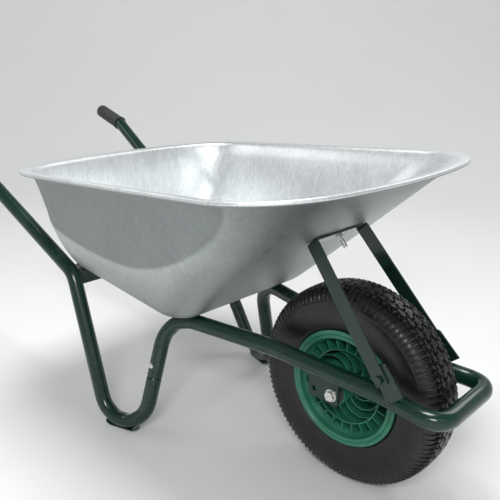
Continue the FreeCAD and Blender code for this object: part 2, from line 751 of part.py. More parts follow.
def hole_tool(name, placement, diameter, depth=60):
    """A cylinder centred on a placement, along its Z axis, for cutting a bolt's holes."""
    start = placement.multiply(FreeCAD.Placement(FreeCAD.Vector(0, 0, -depth / 2), UPRIGHT))
    return primitive("Part::Cylinder", name, start, Radius=f"( {diameter} ) / 2", Height=depth)


def beneath(placement, distance):
    """The same axis, a distance down it, facing the other way."""
    return placement.multiply(FreeCAD.Placement(FreeCAD.Vector(0, 0, -distance),
                              FreeCAD.Rotation(FreeCAD.Vector(1, 0, 0), 180)))


# ---------------------------------------------------------------- cross members

def under_floor_body(name):
    """A body whose sketch plane is the barrow's middle plane: X forward, Y up."""
    return new_body(name, frame_at(FreeCAD.Vector(), FreeCAD.Vector(1, 0, 0),
                                   FreeCAD.Vector(0, 0, 1)))


def rear_crossbar(handle_solid, right_handle_solid, holes):
    """Folded angle under the tray's rear edge, welded between the handle tubes."""
    level = floor_level(-size("floor_gap"))
    thick = size("crossbar_thickness")
    bottom = "crossbar_bottom"
    back = value("axle_forward - crossbar_rear_back")
    front = value("axle_forward - crossbar_front_back")
    body = under_floor_body("rear_crossbar")
    sketch = new_sketch(body, "profile")
    outline(sketch, [(f"{back}", f"{level(back)}"), (f"{back}", f"{level(back) - thick}"),
                     (f"{front - thick}", f"{level(front) - 1.1 * thick}"),
                     (f"{front - thick}", bottom), (f"{front}", bottom),
                     (f"{front}", f"{level(front)}")])
    pad(body, sketch, "2 * knee_half_width - crossbar_trim", both_ways=True)
    return cut("rear_crossbar_fitted", body, handle_solid, right_handle_solid, *holes)


def front_cross_strap(frame_solid, holes):
    """Flat strap under the tray's front edge, welded between the side tubes."""
    level = floor_level(-size("floor_gap"))
    under = floor_level(-value("floor_gap + bar_thickness"))
    back = value("axle_forward - strap_rear_back")
    front = value("axle_forward - strap_front_back")
    body = under_floor_body("front_cross_strap")
    sketch = new_sketch(body, "profile")
    outline(sketch, [(f"{back}", f"{level(back)}"), (f"{back}", f"{under(back)}"),
                     (f"{front}", f"{under(front)}"), (f"{front}", f"{level(front)}")])
    pad(body, sketch, "strap_length", both_ways=True)
    return cut("front_cross_strap_fitted", body, frame_solid, *holes)


# ---------------------------------------------------------------- strut, tabs and brackets

def tray_strut():
    """Flat bar folded into an arch: its top on the tray's wall, an arm down each side."""
    body = new_body("tray_strut", strut_frame())
    sketch = new_sketch(body, "profile")
    out = "strut_half_width"
    thin = "strut_half_width - bar_thickness"
    end = "strut_arm_length"
    splay = "strut_splay"
    outline(sketch, [(f"- {out}", "0"), (out, "0"), (f"{out} + {splay}", end),
                     (f"{thin} + {splay}", end), (thin, "bar_thickness"),
                     (f"- ( {thin} )", "bar_thickness"), (f"- ( {thin} + {splay} )", end),
                     (f"- ( {out} + {splay} )", end)])
    pad(body, sketch, "strut_bar_width", both_ways=True)
    width = size("strut_bar_width")

    def outside_fold(edge):
        place = edge.CenterOfMass
        outermost = abs(place.x) > size("strut_half_width") - 1
        return along_bar(edge, width) and place.y < 1 and outermost

    def inside_fold(edge):
        return along_bar(edge, width) and abs(edge.CenterOfMass.y - size("bar_thickness")) < 0.1

    def arm_end(edge):
        at_end = abs(edge.CenterOfMass.y - size("strut_arm_length")) < 0.1
        return across_bar(edge) and at_end

    round_edges(body, "strut_outer_fold", outside_fold)
    round_edges(body, "strut_inner_fold", inside_fold)
    round_edges(body, "strut_end_corner", arm_end)
    doc.recompute()
    top_hole = new_sketch(body, "top_hole", "XZ_Plane")
    disc(top_hole, "bolt_hole")
    pocket_through(body, top_hole)
    arm_holes = new_sketch(body, "arm_holes", "YZ_Plane")
    disc(arm_holes, "bolt_hole", "strut_arm_length - strut_hole_inset", "0")
    pocket_through(body, arm_holes)
    return node("tray_strut", body)


def along_bar(edge, width):
    """True for an edge that runs the full width of the flat bar."""
    return abs(edge.Length - width) < 0.2


def across_bar(edge):
    """True for an edge that only crosses the bar's thickness."""
    return edge.Length < size("bar_thickness") + 0.5


def arm_frame():
    """On the left arm's inner face at its top: X down the arm, Y up the tray's wall."""
    frame = strut_frame()
    inner = size("strut_half_width") - size("bar_thickness")
    foot = frame.multVec(FreeCAD.Vector(inner + size("strut_splay"), size("strut_arm_length"), 0))
    head = frame.multVec(FreeCAD.Vector(inner, 0, 0))
    up_wall = frame.Rotation.multVec(FreeCAD.Vector(0, 0, -1))
    return frame_at(head, (foot - head).normalize(), up_wall)


def strut_tabs(frame_solid):
    """Tabs on the outer side of the side tubes, just inside the strut's arms."""
    seat = arm_frame()
    gap = arm_inward(seat) * size("tab_gap")
    body = new_body("strut_tab", FreeCAD.Placement(seat.Base + gap, seat.Rotation))
    sketch = new_sketch(body, "profile")
    near = "tab_offset - tab_width / 2"
    far = "tab_offset + tab_width / 2"
    outline(sketch, [("tab_top", near), ("tab_top", far), ("tab_bottom", f"{far} + tab_flare"),
                     ("tab_bottom", f"{near} - tab_flare")])
    pad(body, sketch, "bar_thickness", reverse=not left_normal(body))
    round_edges(body, "tab_corner", lambda edge: across_bar(edge)
                and abs(edge.CenterOfMass.x - size("tab_top")) < 0.1)
    hole = new_sketch(body, "hole")
    disc(hole, "bolt_hole", ARM_HOLE, "0")
    pocket_through(body, hole)
    left_and_right("strut_tab", cut("strut_tab_fitted", body, frame_solid))


def arm_inward(seat):
    """Square to the left arm, towards the middle of the barrow."""
    normal = seat.Rotation.multVec(FreeCAD.Vector(0, 0, 1))
    return normal * (-1 if normal.y > 0 else 1)


def tab_bolt_placement():
    """Outside the left arm near its foot, its axis square to the arm."""
    seat = arm_frame()
    inward = arm_inward(seat)
    outside = value("bar_thickness + strut_gap")
    place = seat.multVec(FreeCAD.Vector(value(ARM_HOLE), 0, 0)) - inward * outside
    return FreeCAD.Placement(place, FreeCAD.Rotation(FreeCAD.Vector(0, 0, 1), inward * -1))


def left_normal(body):
    """True where a body's own Z axis points to the middle of the barrow from its left side."""
    return body.Placement.Rotation.multVec(FreeCAD.Vector(0, 0, 1)).y < 0


def axle_brackets(frame_solid):
    """Plates under the side tubes with the axle's hole and a spare one behind it."""
    place = from_axle(0, size("bracket_inner_face"), size("axle_height"))
    body = new_body("axle_bracket", frame_at(place, FreeCAD.Vector(-1, 0, 0),
                                             FreeCAD.Vector(0, 0, 1)))
    sketch = new_sketch(body, "profile")
    front = "- bracket_front"
    low_front = "- bracket_front_drop"
    low_rear = "- bracket_rear_drop"
    outline(sketch, [(front, "bracket_top"), (f"{front} + 1", f"{low_front} + 1"),
                     (f"{front} + bracket_corner", low_front),
                     ("bracket_rear - bracket_corner", low_rear),
                     ("bracket_rear", f"{low_rear} + bracket_corner"),
                     ("bracket_rear", "bracket_top")])
    pad(body, sketch, "bracket_thickness", reverse=left_normal(body))
    holes = new_sketch(body, "holes")
    disc(holes, "bracket_hole")
    disc(holes, "bracket_hole", "spare_hole_back", "0")
    pocket_through(body, holes)
    left_and_right("axle_bracket", cut("axle_bracket_fitted", body, frame_solid))


# ---------------------------------------------------------------- wheel

def wheel_frame(left=0):
    """At the axle's middle: X forward, Y along the axle to the left."""
    return FreeCAD.Placement(from_axle(0, left, size("axle_height")), UPRIGHT)


def tyre():
    body = new_body("tyre", wheel_frame())
    sketch = new_sketch(body, "section")
    half = [("rim_flange_radius - 10.4", "33"), ("rim_flange_radius - 10.4", "40.5"),
            ("rim_flange_radius + 0.8", "41"), ("rim_flange_radius + 3", "tyre_half_width - 4"),
            ("rim_flange_radius + 20", "tyre_half_width - 0.6"),
            ("rim_flange_radius + 36", "tyre_half_width"),
            ("tyre_radius - 32", "tyre_half_width - 0.8"),
            ("tyre_radius - 17", "tyre_half_width - 5"),
            ("tyre_radius - 7", "tyre_half_width - 14"), ("tyre_radius - 2", "tyre_half_width - 27")]
    inner = [("tyre_radius - tyre_wall - 3", "14"), ("tyre_radius - tyre_wall - 12", "32"),
             ("tyre_radius - tyre_wall - 30", "tyre_half_width - tyre_wall - 1"),
             ("rim_flange_radius + 24", "tyre_half_width - tyre_wall - 0.5"),
             ("rim_flange_radius + 4", "tyre_half_width - 2 * tyre_wall")]
    mirror_half = [(across, f"- ( {up} )") for across, up in half]
    mirror_inner = [(across, f"- ( {up} )") for across, up in inner]
    outline(sketch, half + [("tyre_radius", "14"), ("tyre_radius", "-14")] + mirror_half[::-1]
            + mirror_inner[::-1] + inner)
    revolve(body, sketch)
    return node("tyre", body)


def inner_tube():
    """Thin-walled ring that fills the tyre."""
    ring = primitive("Part::Torus", "inner_tube_ring", axle_turned(),
                     Radius1="tube_ring_radius", Radius2="tube_section_radius")
    air = primitive("Part::Torus", "inner_tube_air", axle_turned(), Radius1="tube_ring_radius",
                    Radius2="tube_section_radius - tube_rubber")
    return cut("inner_tube_hollow", ring, air)


def axle_turned(left=0):
    """At the axle with Z along it, to the left."""
    return FreeCAD.Placement(from_axle(0, left, size("axle_height")),
                             FreeCAD.Rotation(FreeCAD.Vector(1, 0, 0), -90))


def wheel_rim():
    """Moulded rim: flanged barrel, middle web, ribs, ring, swirl spokes and long hub."""
    body = new_body("wheel_rim", wheel_frame())
    section = new_sketch(body, "section")
    half = [("hub_radius", "2"), ("hub_radius", "hub_half_length"),
            ("bush_radius", "hub_half_length")]
    barrel = [("88", "2"), ("90", "26"), ("96", "36"), ("97.5", "rim_half_width"),
              ("103", "rim_half_width"), ("104.5", "rim_half_width - 1.6"),
              ("106", "rim_half_width"), ("rim_flange_radius", "rim_half_width - 0.6"),
              ("rim_flange_radius", "rim_half_width - 4.4"),
              ("bead_seat_radius", "rim_half_width - 5"), ("bead_seat_radius - 0.5", "31"),
              ("94", "24")]
    over = [(across, up) for across, up in half[::-1]] + barrel
    under = [(across, f"- ( {up} )") for across, up in over]
    outline(section, over + under[::-1])
    revolve(body, section)
    ring = new_sketch(body, "ring", "XZ_Plane")
    disc(ring, "2 * rim_ring_radius + rim_ring_wall")
    disc(ring, "2 * rim_ring_radius - rim_ring_wall")
    pad(body, ring, "rim_ring_width", both_ways=True)
    rib = new_sketch(body, "rib", "XZ_Plane")
    outline(rib, [("rim_ring_radius", "- rib_half_thickness"),
                  ("rib_outer_radius", "- rib_half_thickness"),
                  ("rib_outer_radius", "rib_half_thickness"),
                  ("rim_ring_radius", "rib_half_thickness")])
    polar(body, pad(body, rib, "rib_width", both_ways=True), rib, "rib_count")
    spoke = new_sketch(body, "spoke", "XZ_Plane")
    outline(spoke, swirl_spoke())
    polar(body, pad(body, spoke, "spoke_width", both_ways=True), spoke, "spoke_count")
    return body


def swirl_spoke():
    """Outline of one curved blade from the hub to the ring, in equal steps of radius."""
    near_side = []
    far_side = []
    root = size("spoke_root_radius")
    steps = 5
    for step in range(steps + 1):
        share = step / steps
        radius = root + share * (size("rim_ring_radius") - root)
        sweep = math.radians(size("spoke_sweep")) * share * share
        half = size("spoke_half_thickness") / radius
        near_side.append((radius * math.cos(sweep - half), radius * math.sin(sweep - half)))
        far_side.append((radius * math.cos(sweep + half), radius * math.sin(sweep + half)))
    return [(f"{across:.3f}", f"{up:.3f}") for across, up in near_side + far_side[::-1]]


def wheel_bush(name, side):
    """Flanged plain bearing pressed into one end of the hub."""
    body = new_body(name, wheel_frame())
    sketch = new_sketch(body, "section")
    sign = "" if side == LEFT else "-"
    outline(sketch, [(across, f"{sign} ( {up} )") for across, up in (
        ("bush_bore / 2", "hub_half_length - bush_depth"),
        ("bush_radius - 0.05", "hub_half_length - bush_depth"),
        ("bush_radius - 0.05", "hub_half_length"), ("hub_radius - 2", "hub_half_length"),
        ("hub_radius - 2", "hub_half_length + bush_flange"),
        ("bush_bore / 2", "hub_half_length + bush_flange"))])
    revolve(body, sketch)
    return node(name, body)


def valve_placement():
    """Valve axis: out of the rim's barrel between two ribs, leaning to the left."""
    angle = math.radians(size("valve_angle"))
    outward = FreeCAD.Vector(math.cos(angle), 0, math.sin(angle))
    centre = from_axle(0, 0, size("axle_height"))
    foot = centre + outward * size("valve_root_radius") + LATERAL * size("valve_root_left")
    tip = centre + outward * size("valve_tip_radius") + LATERAL * size("valve_tip_left")
    way = (tip - foot).normalize()
    return FreeCAD.Placement(foot, FreeCAD.Rotation(FreeCAD.Vector(0, 0, 1), way))


def valve():
    """Rubber stem and its cap; gives back the tool for the stem's hole in the rim."""
    place = valve_placement()
    stem = primitive("Part::Cylinder", "valve_stem_lower", place, Radius="valve_radius",
                     Height="valve_length")
    nipple = primitive("Part::Cylinder", "valve_stem_upper", place, Radius="nipple_radius",
                       Height="nipple_length")
    node("valve_stem", fuse("valve_stem", stem, nipple))
    along_stem = FreeCAD.Placement(FreeCAD.Vector(0, 0, size("cap_start")), UPRIGHT)
    cap_place = place.multiply(along_stem)
    shell = primitive("Part::Cylinder", "valve_cap_shell", cap_place, Radius="cap_radius",
                      Height="cap_length")
    recess = primitive("Part::Cylinder", "valve_cap_recess", cap_place, Radius="cap_bore",
                       Height="cap_depth")
    node("valve_cap", cut("valve_cap", shell, recess))
    return primitive("Part::Cylinder", "valve_hole", place, Radius="valve_hole_radius",
                     Height="valve_hole_depth")


def axle_parts():
    """Bolt through both brackets, its nut, and washers outside and inside the brackets."""
    outer_face = "bracket_inner_face + bracket_thickness"
    washer_face = value(f"{outer_face} + outer_washer_thickness")
    near = FreeCAD.Placement(from_axle(0, -washer_face - size("floor_gap"), size("axle_height")),
                             FreeCAD.Rotation(FreeCAD.Vector(1, 0, 0), 90))
    node("axle_bolt", hexagon_bolt("axle_bolt", near, "axle_diameter", "axle_bolt_length",
                                   "axle_flats", "axle_head"))
    node("axle_nut", hexagon_nut("axle_nut", axle_turned(washer_face + size("floor_gap")),
                                 "axle_diameter", "axle_flats", "axle_nut_height"))
    outside = washer("axle_outer_washer", axle_turned(value(f"{outer_face} + floor_gap / 2")),
                     "axle_diameter + axle_gap", "outer_washer_diameter",
                     "outer_washer_thickness")
    both_sides("axle_outer_washers", outside)
    inside_face = value("hub_half_length + bush_flange + 0.3")
    inside = washer("axle_inner_washer", axle_turned(inside_face), "axle_diameter + axle_gap",
                    "inner_washer_diameter", "inner_washer_thickness")
    both_sides("axle_inner_washers", inside)


# ---------------------------------------------------------------- assembly

frame_solid, frame_tube = front_frame_tube()
handle_solid, left_handle = handle_tube()
right_handle_solid = mirrored("right_handle_solid", handle_solid)
left_screw_hole = screw_hole_tool()
right_screw_hole = mirrored("right_leg_screw_hole", left_screw_hole)
node("front_frame_tube", cut("front_frame_tube", frame_tube, left_screw_hole, right_screw_hole))
left_and_right("handle_tube", left_handle)
leg_screws()
grip()
foot_plates(handle_solid)

rear_bolt = floor_bolt_placement(size("rear_bolt_back"), size("rear_bolt_left"))
front_bolt = floor_bolt_placement(size("front_bolt_back"), size("front_bolt_left"))
floor_holes = [hole_tool("rear_floor_hole", rear_bolt, "bolt_hole"),
               hole_tool("front_floor_hole", front_bolt, "bolt_hole")]
mirrored_holes = [mirrored(f"{hole.Name}_right", hole) for hole in floor_holes]
wall_bolt = strut_bolt_placement()
wall_hole = hole_tool("wall_hole", wall_bolt, "bolt_hole", 20)
node("tray", cut("tray", tray_shell(), *floor_holes, *mirrored_holes, wall_hole))
node("rear_crossbar", rear_crossbar(handle_solid, right_handle_solid,
                                    [floor_holes[0], mirrored_holes[0]]))
node("front_cross_strap", front_cross_strap(frame_solid, [floor_holes[1], mirrored_holes[1]]))
tray_strut()
strut_tabs(frame_solid)
axle_brackets(frame_solid)

for place, end, clamped in ((rear_bolt, "rear", "crossbar_thickness + 7 * floor_gap"),
                            (front_bolt, "front", "bar_thickness + 4 * floor_gap")):
    bolt = dome_bolt(f"{end}_floor_bolt", place, "bolt_diameter", "floor_bolt_length",
                     "dome_diameter", "dome_height")
    both_sides(f"tray_{end}_bolts", bolt)
    under = value(f"sheet_thickness + {clamped}")
    floor_nut = hexagon_nut(f"{end}_floor_nut", beneath(place, under), "bolt_diameter",
                            "bolt_flats", "nut_height")
    both_sides(f"tray_{end}_nuts", floor_nut)

node("strut_top_bolt", dome_bolt("strut_top_bolt", wall_bolt, "bolt_diameter",
                                 "wall_bolt_length", "wall_dome_diameter", "dome_height"))
wall_nut = beneath(wall_bolt, value("bar_thickness + 16 * strut_gap"))
node("strut_top_nut", hexagon_nut("strut_top_nut", wall_nut, "bolt_diameter", "bolt_flats",
                                  "nut_height"))

tab_bolt = tab_bolt_placement()
both_sides("strut_tab_bolts", hexagon_bolt("tab_bolt", tab_bolt, "bolt_diameter",
                                           "tab_bolt_length", "bolt_flats", "bolt_head"))
tab_nut = beneath(tab_bolt, value("2 * bar_thickness + 4 * tab_gap"))
both_sides("strut_tab_nuts", hexagon_nut("tab_nut", tab_nut, "bolt_diameter", "bolt_flats",
                                         "nut_height"))

valve_hole = valve()
node("wheel_rim", cut("wheel_rim_with_valve_hole", wheel_rim(), valve_hole))
wheel_bush("left_wheel_bush", LEFT)
wheel_bush("right_wheel_bush", RIGHT)
tyre()
node("inner_tube", inner_tube())
axle_parts()

doc.recompute()

# ---------------------------------------------------------------- checks and export

failed = [item.Name for item in doc.Objects if {"Invalid", "Error"} & set(item.State)]
if failed:
    raise RuntimeError(f"these did not compute: {failed}")
os.makedirs("parts", exist_ok=True)
overall = FreeCAD.BoundBox()
for name, piece in nodes.items():
    shape = piece.Shape
    if shape.isNull() or not shape.isValid() or not shape.Solids:
        raise RuntimeError(f"{name} has no valid solid")
    overall.add(shape.BoundBox)
    print(f"{name}: {len(shape.Solids)} solid(s), {shape.Volume / 1000:.1f} cm3")
for name, piece in nodes.items():
    piece.Shape.exportStep(f"parts/{name}.step")
print("x", overall.XMin, overall.XMax, "y", overall.YMin, overall.YMax,
      "z", overall.ZMin, overall.ZMax)
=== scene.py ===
"""Looks of the wheelbarrow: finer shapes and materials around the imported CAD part.

Everything is in metres in the part's own frame: X forward, Y to the left, Z up.
"""

import math

import bmesh
import bpy
import numpy as np
from mathutils import Matrix, Vector


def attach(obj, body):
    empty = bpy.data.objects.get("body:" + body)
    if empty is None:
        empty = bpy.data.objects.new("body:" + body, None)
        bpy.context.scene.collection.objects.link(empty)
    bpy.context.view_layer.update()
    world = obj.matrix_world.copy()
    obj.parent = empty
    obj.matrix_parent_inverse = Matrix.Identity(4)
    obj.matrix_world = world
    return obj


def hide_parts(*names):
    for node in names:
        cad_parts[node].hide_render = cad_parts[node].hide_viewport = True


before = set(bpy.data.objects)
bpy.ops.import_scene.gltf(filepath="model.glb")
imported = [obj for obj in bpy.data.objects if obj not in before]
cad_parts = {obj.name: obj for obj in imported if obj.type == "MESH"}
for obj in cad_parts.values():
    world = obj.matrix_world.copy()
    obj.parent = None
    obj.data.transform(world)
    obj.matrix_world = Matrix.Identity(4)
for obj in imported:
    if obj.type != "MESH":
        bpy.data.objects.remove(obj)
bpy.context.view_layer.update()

LEFT = 1
RIGHT = -1

# The axle, from which the CAD part measures places along the barrow
AXLE_X = 0.4649
AXLE_Z = 0.195

# Tubes: corners of their centre lines, bend radii, and the marks that the bending die leaves
TUBE_RADIUS = 0.016
FRONT_REACH = 0.2182
FRONT_HALF_WIDTH = 0.0913
FRONT_BAR_HEIGHT = 0.2334
RAIL_SLOPE = 0.0505
RAIL_WIDE = (-0.129, 0.091)
RAIL_NARROW = (0.112, 0.0802)
LEG_TOP = Vector((AXLE_X - 0.373, 0.1425, 0.2625))
LEG_CORNER = Vector((AXLE_X - 0.397, 0.250, -0.1546))
LEG_JOINT_HEIGHT = 0.128
KNEE = Vector((AXLE_X - 0.619, 0.208, 0.3055))
GRIP_BEND = Vector((AXLE_X - 1.054, 0.2532, 0.5588))
GRIP_SLOPE = math.radians(16)
GRIP_SPLAY = 0.065
GRIP_RUN = 0.106
FRONT_TUBE_BENDS = (0.078, 0.300, 0.300, 0.038)
FRONT_PRESS = {0: 0.0035, 3: 0.0075, 4: 0.0075, 7: 0.0035}
FRONT_SWELL = {0: 0.0006, 3: 0.0030, 4: 0.0030, 7: 0.0006}
FRONT_CORNERS = (3, 4)
FRONT_RIPPLES = 3
HANDLE_BENDS = (0.070, 0.080, 0.0635)
HANDLE_PRESS = {0: 0.0016, 1: 0.0030, 2: 0.0040}
HANDLE_SWELL = {1: 0.0008, 2: 0.0008}
HANDLE_RIPPLES = 4
SEAM_GAPS = (0.0100, 0.0070, 0.0050, 0.0035, 0.0022, 0.0012, 0.0005, 0)
SEAM_REACH = 0.011
SEAM_DEPTH = 0.0022
SEAM_WIDTH = 0.0028

# Tube mesh: points round each ring, metres between rings on a straight, radians between rings
# on a bend (twice that where its radius is wide), least distance between rings
TUBE_COLUMNS = 40
STRAIGHT_STEP = 0.012
BEND_STEP = 0.06
WIDE_BEND = 0.2
LEAST_STEP = 0.0004

# Grips
GRIP_LENGTH = 0.108
GRIP_RADIUS = 0.0185
GRIP_OVERHANG = 0.0041
GRIP_RIBS = 88
RIBS_START = 0.0072
RIBS_MARGIN = 0.0175
RIB_DEPTH = 0.0006

# Weld beads: the reach within which a CAD vertex counts as touching, and the beads' radii
WELD_REACH = 0.0012
WELD_LIFT = 0.0002
WELD_STEPS = 28
WELD_RIPPLE = 0.0024
WELD_COLUMNS = 12
RIPPLE_STEPS = 6
BRACKET_BEAD = 0.0021
TAB_BEAD = 0.0032

# Tray: its sheet, and plans of its floor and rim as rear and front ends, half widths there,
# corner radii there and the bows of the four sides
SHEET = 0.0009
FLOOR_PLAN = (AXLE_X - 0.655, AXLE_X - 0.281, 0.190, 0.197, 0.050, 0.058, (0, 0, 0, 0))
FLOOR_HEIGHTS = (0.313, 0.2752)
RIM_PLAN = (AXLE_X - 0.729, AXLE_X + 0.087, 0.3119, 0.3409, 0.148, 0.154,
            (0.0017, 0.0165, 0.0017, 0.0178))
RIM_HEIGHTS = (0.536, 0.5967)
BEAD_RADIUS = 0.0045
FLANGE_WIDTH = 0.017
RIM_DROP = 0.002
FOOT_INSET = 0.001
FOOT_LIFT = 0.006
HEAD_LIFT = -0.004
WALL_BULGE = 0.013
BULGE_SHAPE = 6.75
INNER_INSET = 1.4 * SHEET
LEDGE_WIDTH = 0.006
LEDGE_DIP = 0.0014
WALL_TOP = BEAD_RADIUS + FLANGE_WIDTH
LEDGE_HEIGHT = BEAD_RADIUS - RIM_DROP - LEDGE_DIP
LEDGE_END = BEAD_RADIUS * 2.2
LEAST_CORNER = 0.012
CORNER_HANDLE = 0.552
LEAST_BOW = 0.00001
BEAD_TURNS = [math.radians(degrees) for degrees in range(126, -166, -14)]

# Tray mesh: points along each side and corner, rings of the floor, its foot and the walls
SIDE_COLUMNS = 60
CORNER_COLUMNS = 52
FLOOR_INSETS = (0.110, 0.050, 0.030)
FOOT_RINGS = 8
BROW_RINGS = 5
WALL_SHARES = [0.07 + 0.895 * step / 36 for step in range(37)]

# Tray sides: the lens pressed in below the rim, where the outside sheet gets painted shade, each
# end as (half length, power)
LENS_LAYER = "lens_depth"
LENS_MIDDLE = 0.10
LENS_FRONT = (0.325, 1.6)
LENS_REAR = (0.36, 2.0)
LENS_DEPTH = 0.172
LENS_LEAST_Y = 0.19
LENS_PRESS = 0.0022
LENS_EDGE = 0.016
LENS_FADE = 0.030

# Tyre casing, with its bare outside and its inside as (half width place, radius), and its mesh
TYRE_RADIUS = 0.195
TYRE_HALF_WIDTH = 0.049
TYRE_MARGIN = 0.0001
TYRE_SIDE = ((0.0395, 0.1095), (0.0410, 0.1128), (0.0432, 0.1150), (0.0447, 0.1170),
             (0.0462, 0.1230), (0.0476, 0.1320), (0.0484, 0.1420), (0.0487, 0.1500),
             (0.0484, 0.1580), (0.0474, 0.1660), (0.0452, 0.1735), (0.0415, 0.1795),
             (0.0360, 0.1840), (0.0290, 0.1868), (0.0200, 0.1886), (0.0100, 0.1895),
             (0.0, 0.1898))
TYRE_INSIDE = ((-0.036, 0.106), (0.0, 0.1045), (0.036, 0.106))
PROFILE_POINTS = 400
PROFILE_CUTS = 4
PITCH_SAMPLES = 24
TREAD_REACH = 0.0575
TREAD_SPACING = 0.00075
WALL_SPACING = 0.0015

# Tread: lines of grooves and lugs by distance from the crown, phases in pitches
TREAD_PITCHES = 54
TREAD_RADIUS = 0.19
TREAD_DEPTH = 0.0054
INNER_LINE = (0.0088, 0.0019)
OUTER_LINE = (0.0212, 0.0018)
GROOVE_WALL = 0.0007
CUT_WIDTH = 0.0021
LINE_WIDTH = 0.0019
NOTCH_WIDTH = 0.0016
NOTCH_FLOOR = 0.25
CENTRE_SOLID = 0.0052
MIDDLE_SOLID = (0.0125, 0.0178)
SOLID_EDGE = 0.0006
ZIGZAG_STEEPNESS = 2.2
CENTRE_JOG = 0.15
CENTRE_JOG_LENGTH = 0.017
MIDDLE_JOG = 0.13
MIDDLE_PHASE = 0.36
MIDDLE_NOTCH_PHASE = 0.14
LUG_PHASE = 0.22
LUG_TOP_END = 0.0275
LUG_ENDS = (0.0555, 0.0505)
RIB_SHARE = 0.15
LUG_TOP_SHARE = 0.39
RIB_EDGE = 0.0012
LUG_TOP_EDGE = 0.0008
LUG_END_EDGE = 0.0016
RIB_START = 0.024
RIB_RUN = 0.045
RIB_HEIGHTS = (0.85, 0.18)
SIDEWALL_RINGS = ((0.0585, 0.0597, 0.0005), (0.0730, 0.0742, 0.0006), (0.0850, 0.0860, 0.0005))
RING_EDGE = 0.0008
RAY_BAND = (0.0620, 0.0705)
RAY_EDGE = 0.002
RAY_HEIGHT = 0.00022
RAYS_PER_PITCH = 4

# The photograph's camera: angles in degrees, lens and sensor in millimetres
CAMERA_PLACE = (1.0663, -0.9464, 0.8032)
CAMERA_AZIMUTH = 42.84
CAMERA_ELEVATION = 17.74
CAMERA_ROLL = 0.79
CAMERA_LENS = 47.11
CAMERA_SENSOR = 36


# ---------------------------------------------------------------- materials

def new_material(name):
    """An empty node material and its shader."""
    material = bpy.data.materials.new(name)
    material.use_nodes = True
    shader = material.node_tree.nodes["Principled BSDF"]
    return material, material.node_tree, shader


def object_coordinates(tree, stretch):
    """Places in the row frame, stretched along each axis."""
    place = tree.nodes.new("ShaderNodeTexCoord")
    mapping = tree.nodes.new("ShaderNodeMapping")
    mapping.inputs["Scale"].default_value = stretch
    tree.links.new(place.outputs["Object"], mapping.inputs["Vector"])
    return mapping.outputs["Vector"]


def noise(tree, stretch, scale, detail, roughness):
    """Fractal noise in the row frame, from 0 to 1."""
    texture = tree.nodes.new("ShaderNodeTexNoise")
    texture.inputs["Scale"].default_value = scale
    texture.inputs["Detail"].default_value = detail
    texture.inputs["Roughness"].default_value = roughness
    tree.links.new(object_coordinates(tree, stretch), texture.inputs["Vector"])
    return texture.outputs["Fac"]


def ramp(tree, source, low, high, low_value, high_value):
    """A number mapped from one range to another, held at its ends."""
    mapper = tree.nodes.new("ShaderNodeMapRange")
    mapper.inputs["From Min"].default_value = low
    mapper.inputs["From Max"].default_value = high
    mapper.inputs["To Min"].default_value = low_value
    mapper.inputs["To Max"].default_value = high_value
    tree.links.new(source, mapper.inputs["Value"])
    return mapper.outputs["Result"]


def blend_colours(tree, amount, first, second):
    """A colour between two, by an amount from 0 to 1."""
    mix = tree.nodes.new("ShaderNodeMix")
    mix.data_type = "RGBA"
    for socket, colour in ((mix.inputs[6], first), (mix.inputs[7], second)):
        if isinstance(colour, bpy.types.NodeSocket):
            tree.links.new(colour, socket)
        else:
            socket.default_value = (*colour, 1)
    tree.links.new(amount, mix.inputs["Factor"])
    return mix.outputs[2]


def bump(tree, shader, height, depth, strength, after=None):
    """Fine relief on a surface, depth in metres."""
    relief = tree.nodes.new("ShaderNodeBump")
    relief.inputs["Distance"].default_value = depth
    relief.inputs["Strength"].default_value = strength
    tree.links.new(height, relief.inputs["Height"])
    if after is not None:
        tree.links.new(after, relief.inputs["Normal"])
    tree.links.new(relief.outputs["Normal"], shader.inputs["Normal"])
    return relief.outputs["Normal"]


def painted_lens_shade(tree, tone, painted_shade_tone):
    """Painted shade: a tone multiplied by another inside the pressed side lenses and high on the
    nose.
    """
    lens = tree.nodes.new("ShaderNodeAttribute")
    lens.attribute_name = LENS_LAYER
    place = tree.nodes.new("ShaderNodeSeparateXYZ")
    tree.links.new(object_coordinates(tree, (1, 1, 1)), place.inputs["Vector"])
    # Painted shade high on the nose: from 0.34 m forward and 0.40 m up, full by 0.50 m and 0.56 m.
    nose = tree.nodes.new("ShaderNodeMath")
    nose.operation = "MULTIPLY"
    tree.links.new(ramp(tree, place.outputs["X"], 0.34, 0.50, 0, 1), nose.inputs[0])
    tree.links.new(ramp(tree, place.outputs["Z"], 0.40, 0.56, 0, 1), nose.inputs[1])
    # The painted shade takes the larger of the lens and nose amounts; a lens depth of 0 already
    # gives 0.43 of it.
    painted_shade_amount = tree.nodes.new("ShaderNodeMath")
    painted_shade_amount.operation = "MAXIMUM"
    tree.links.new(ramp(tree, lens.outputs["Fac"], -0.003, 0.004, 0, 1), painted_shade_amount.inputs[0])
    tree.links.new(nose.outputs["Value"], painted_shade_amount.inputs[1])
    shade = tree.nodes.new("ShaderNodeMix")
    shade.data_type = "RGBA"
    shade.blend_type = "MULTIPLY"
    tree.links.new(painted_shade_amount.outputs["Value"], shade.inputs["Factor"])
    tree.links.new(tone, shade.inputs[6])
    shade.inputs[7].default_value = (*painted_shade_tone, 1)
    return shade.outputs[2]


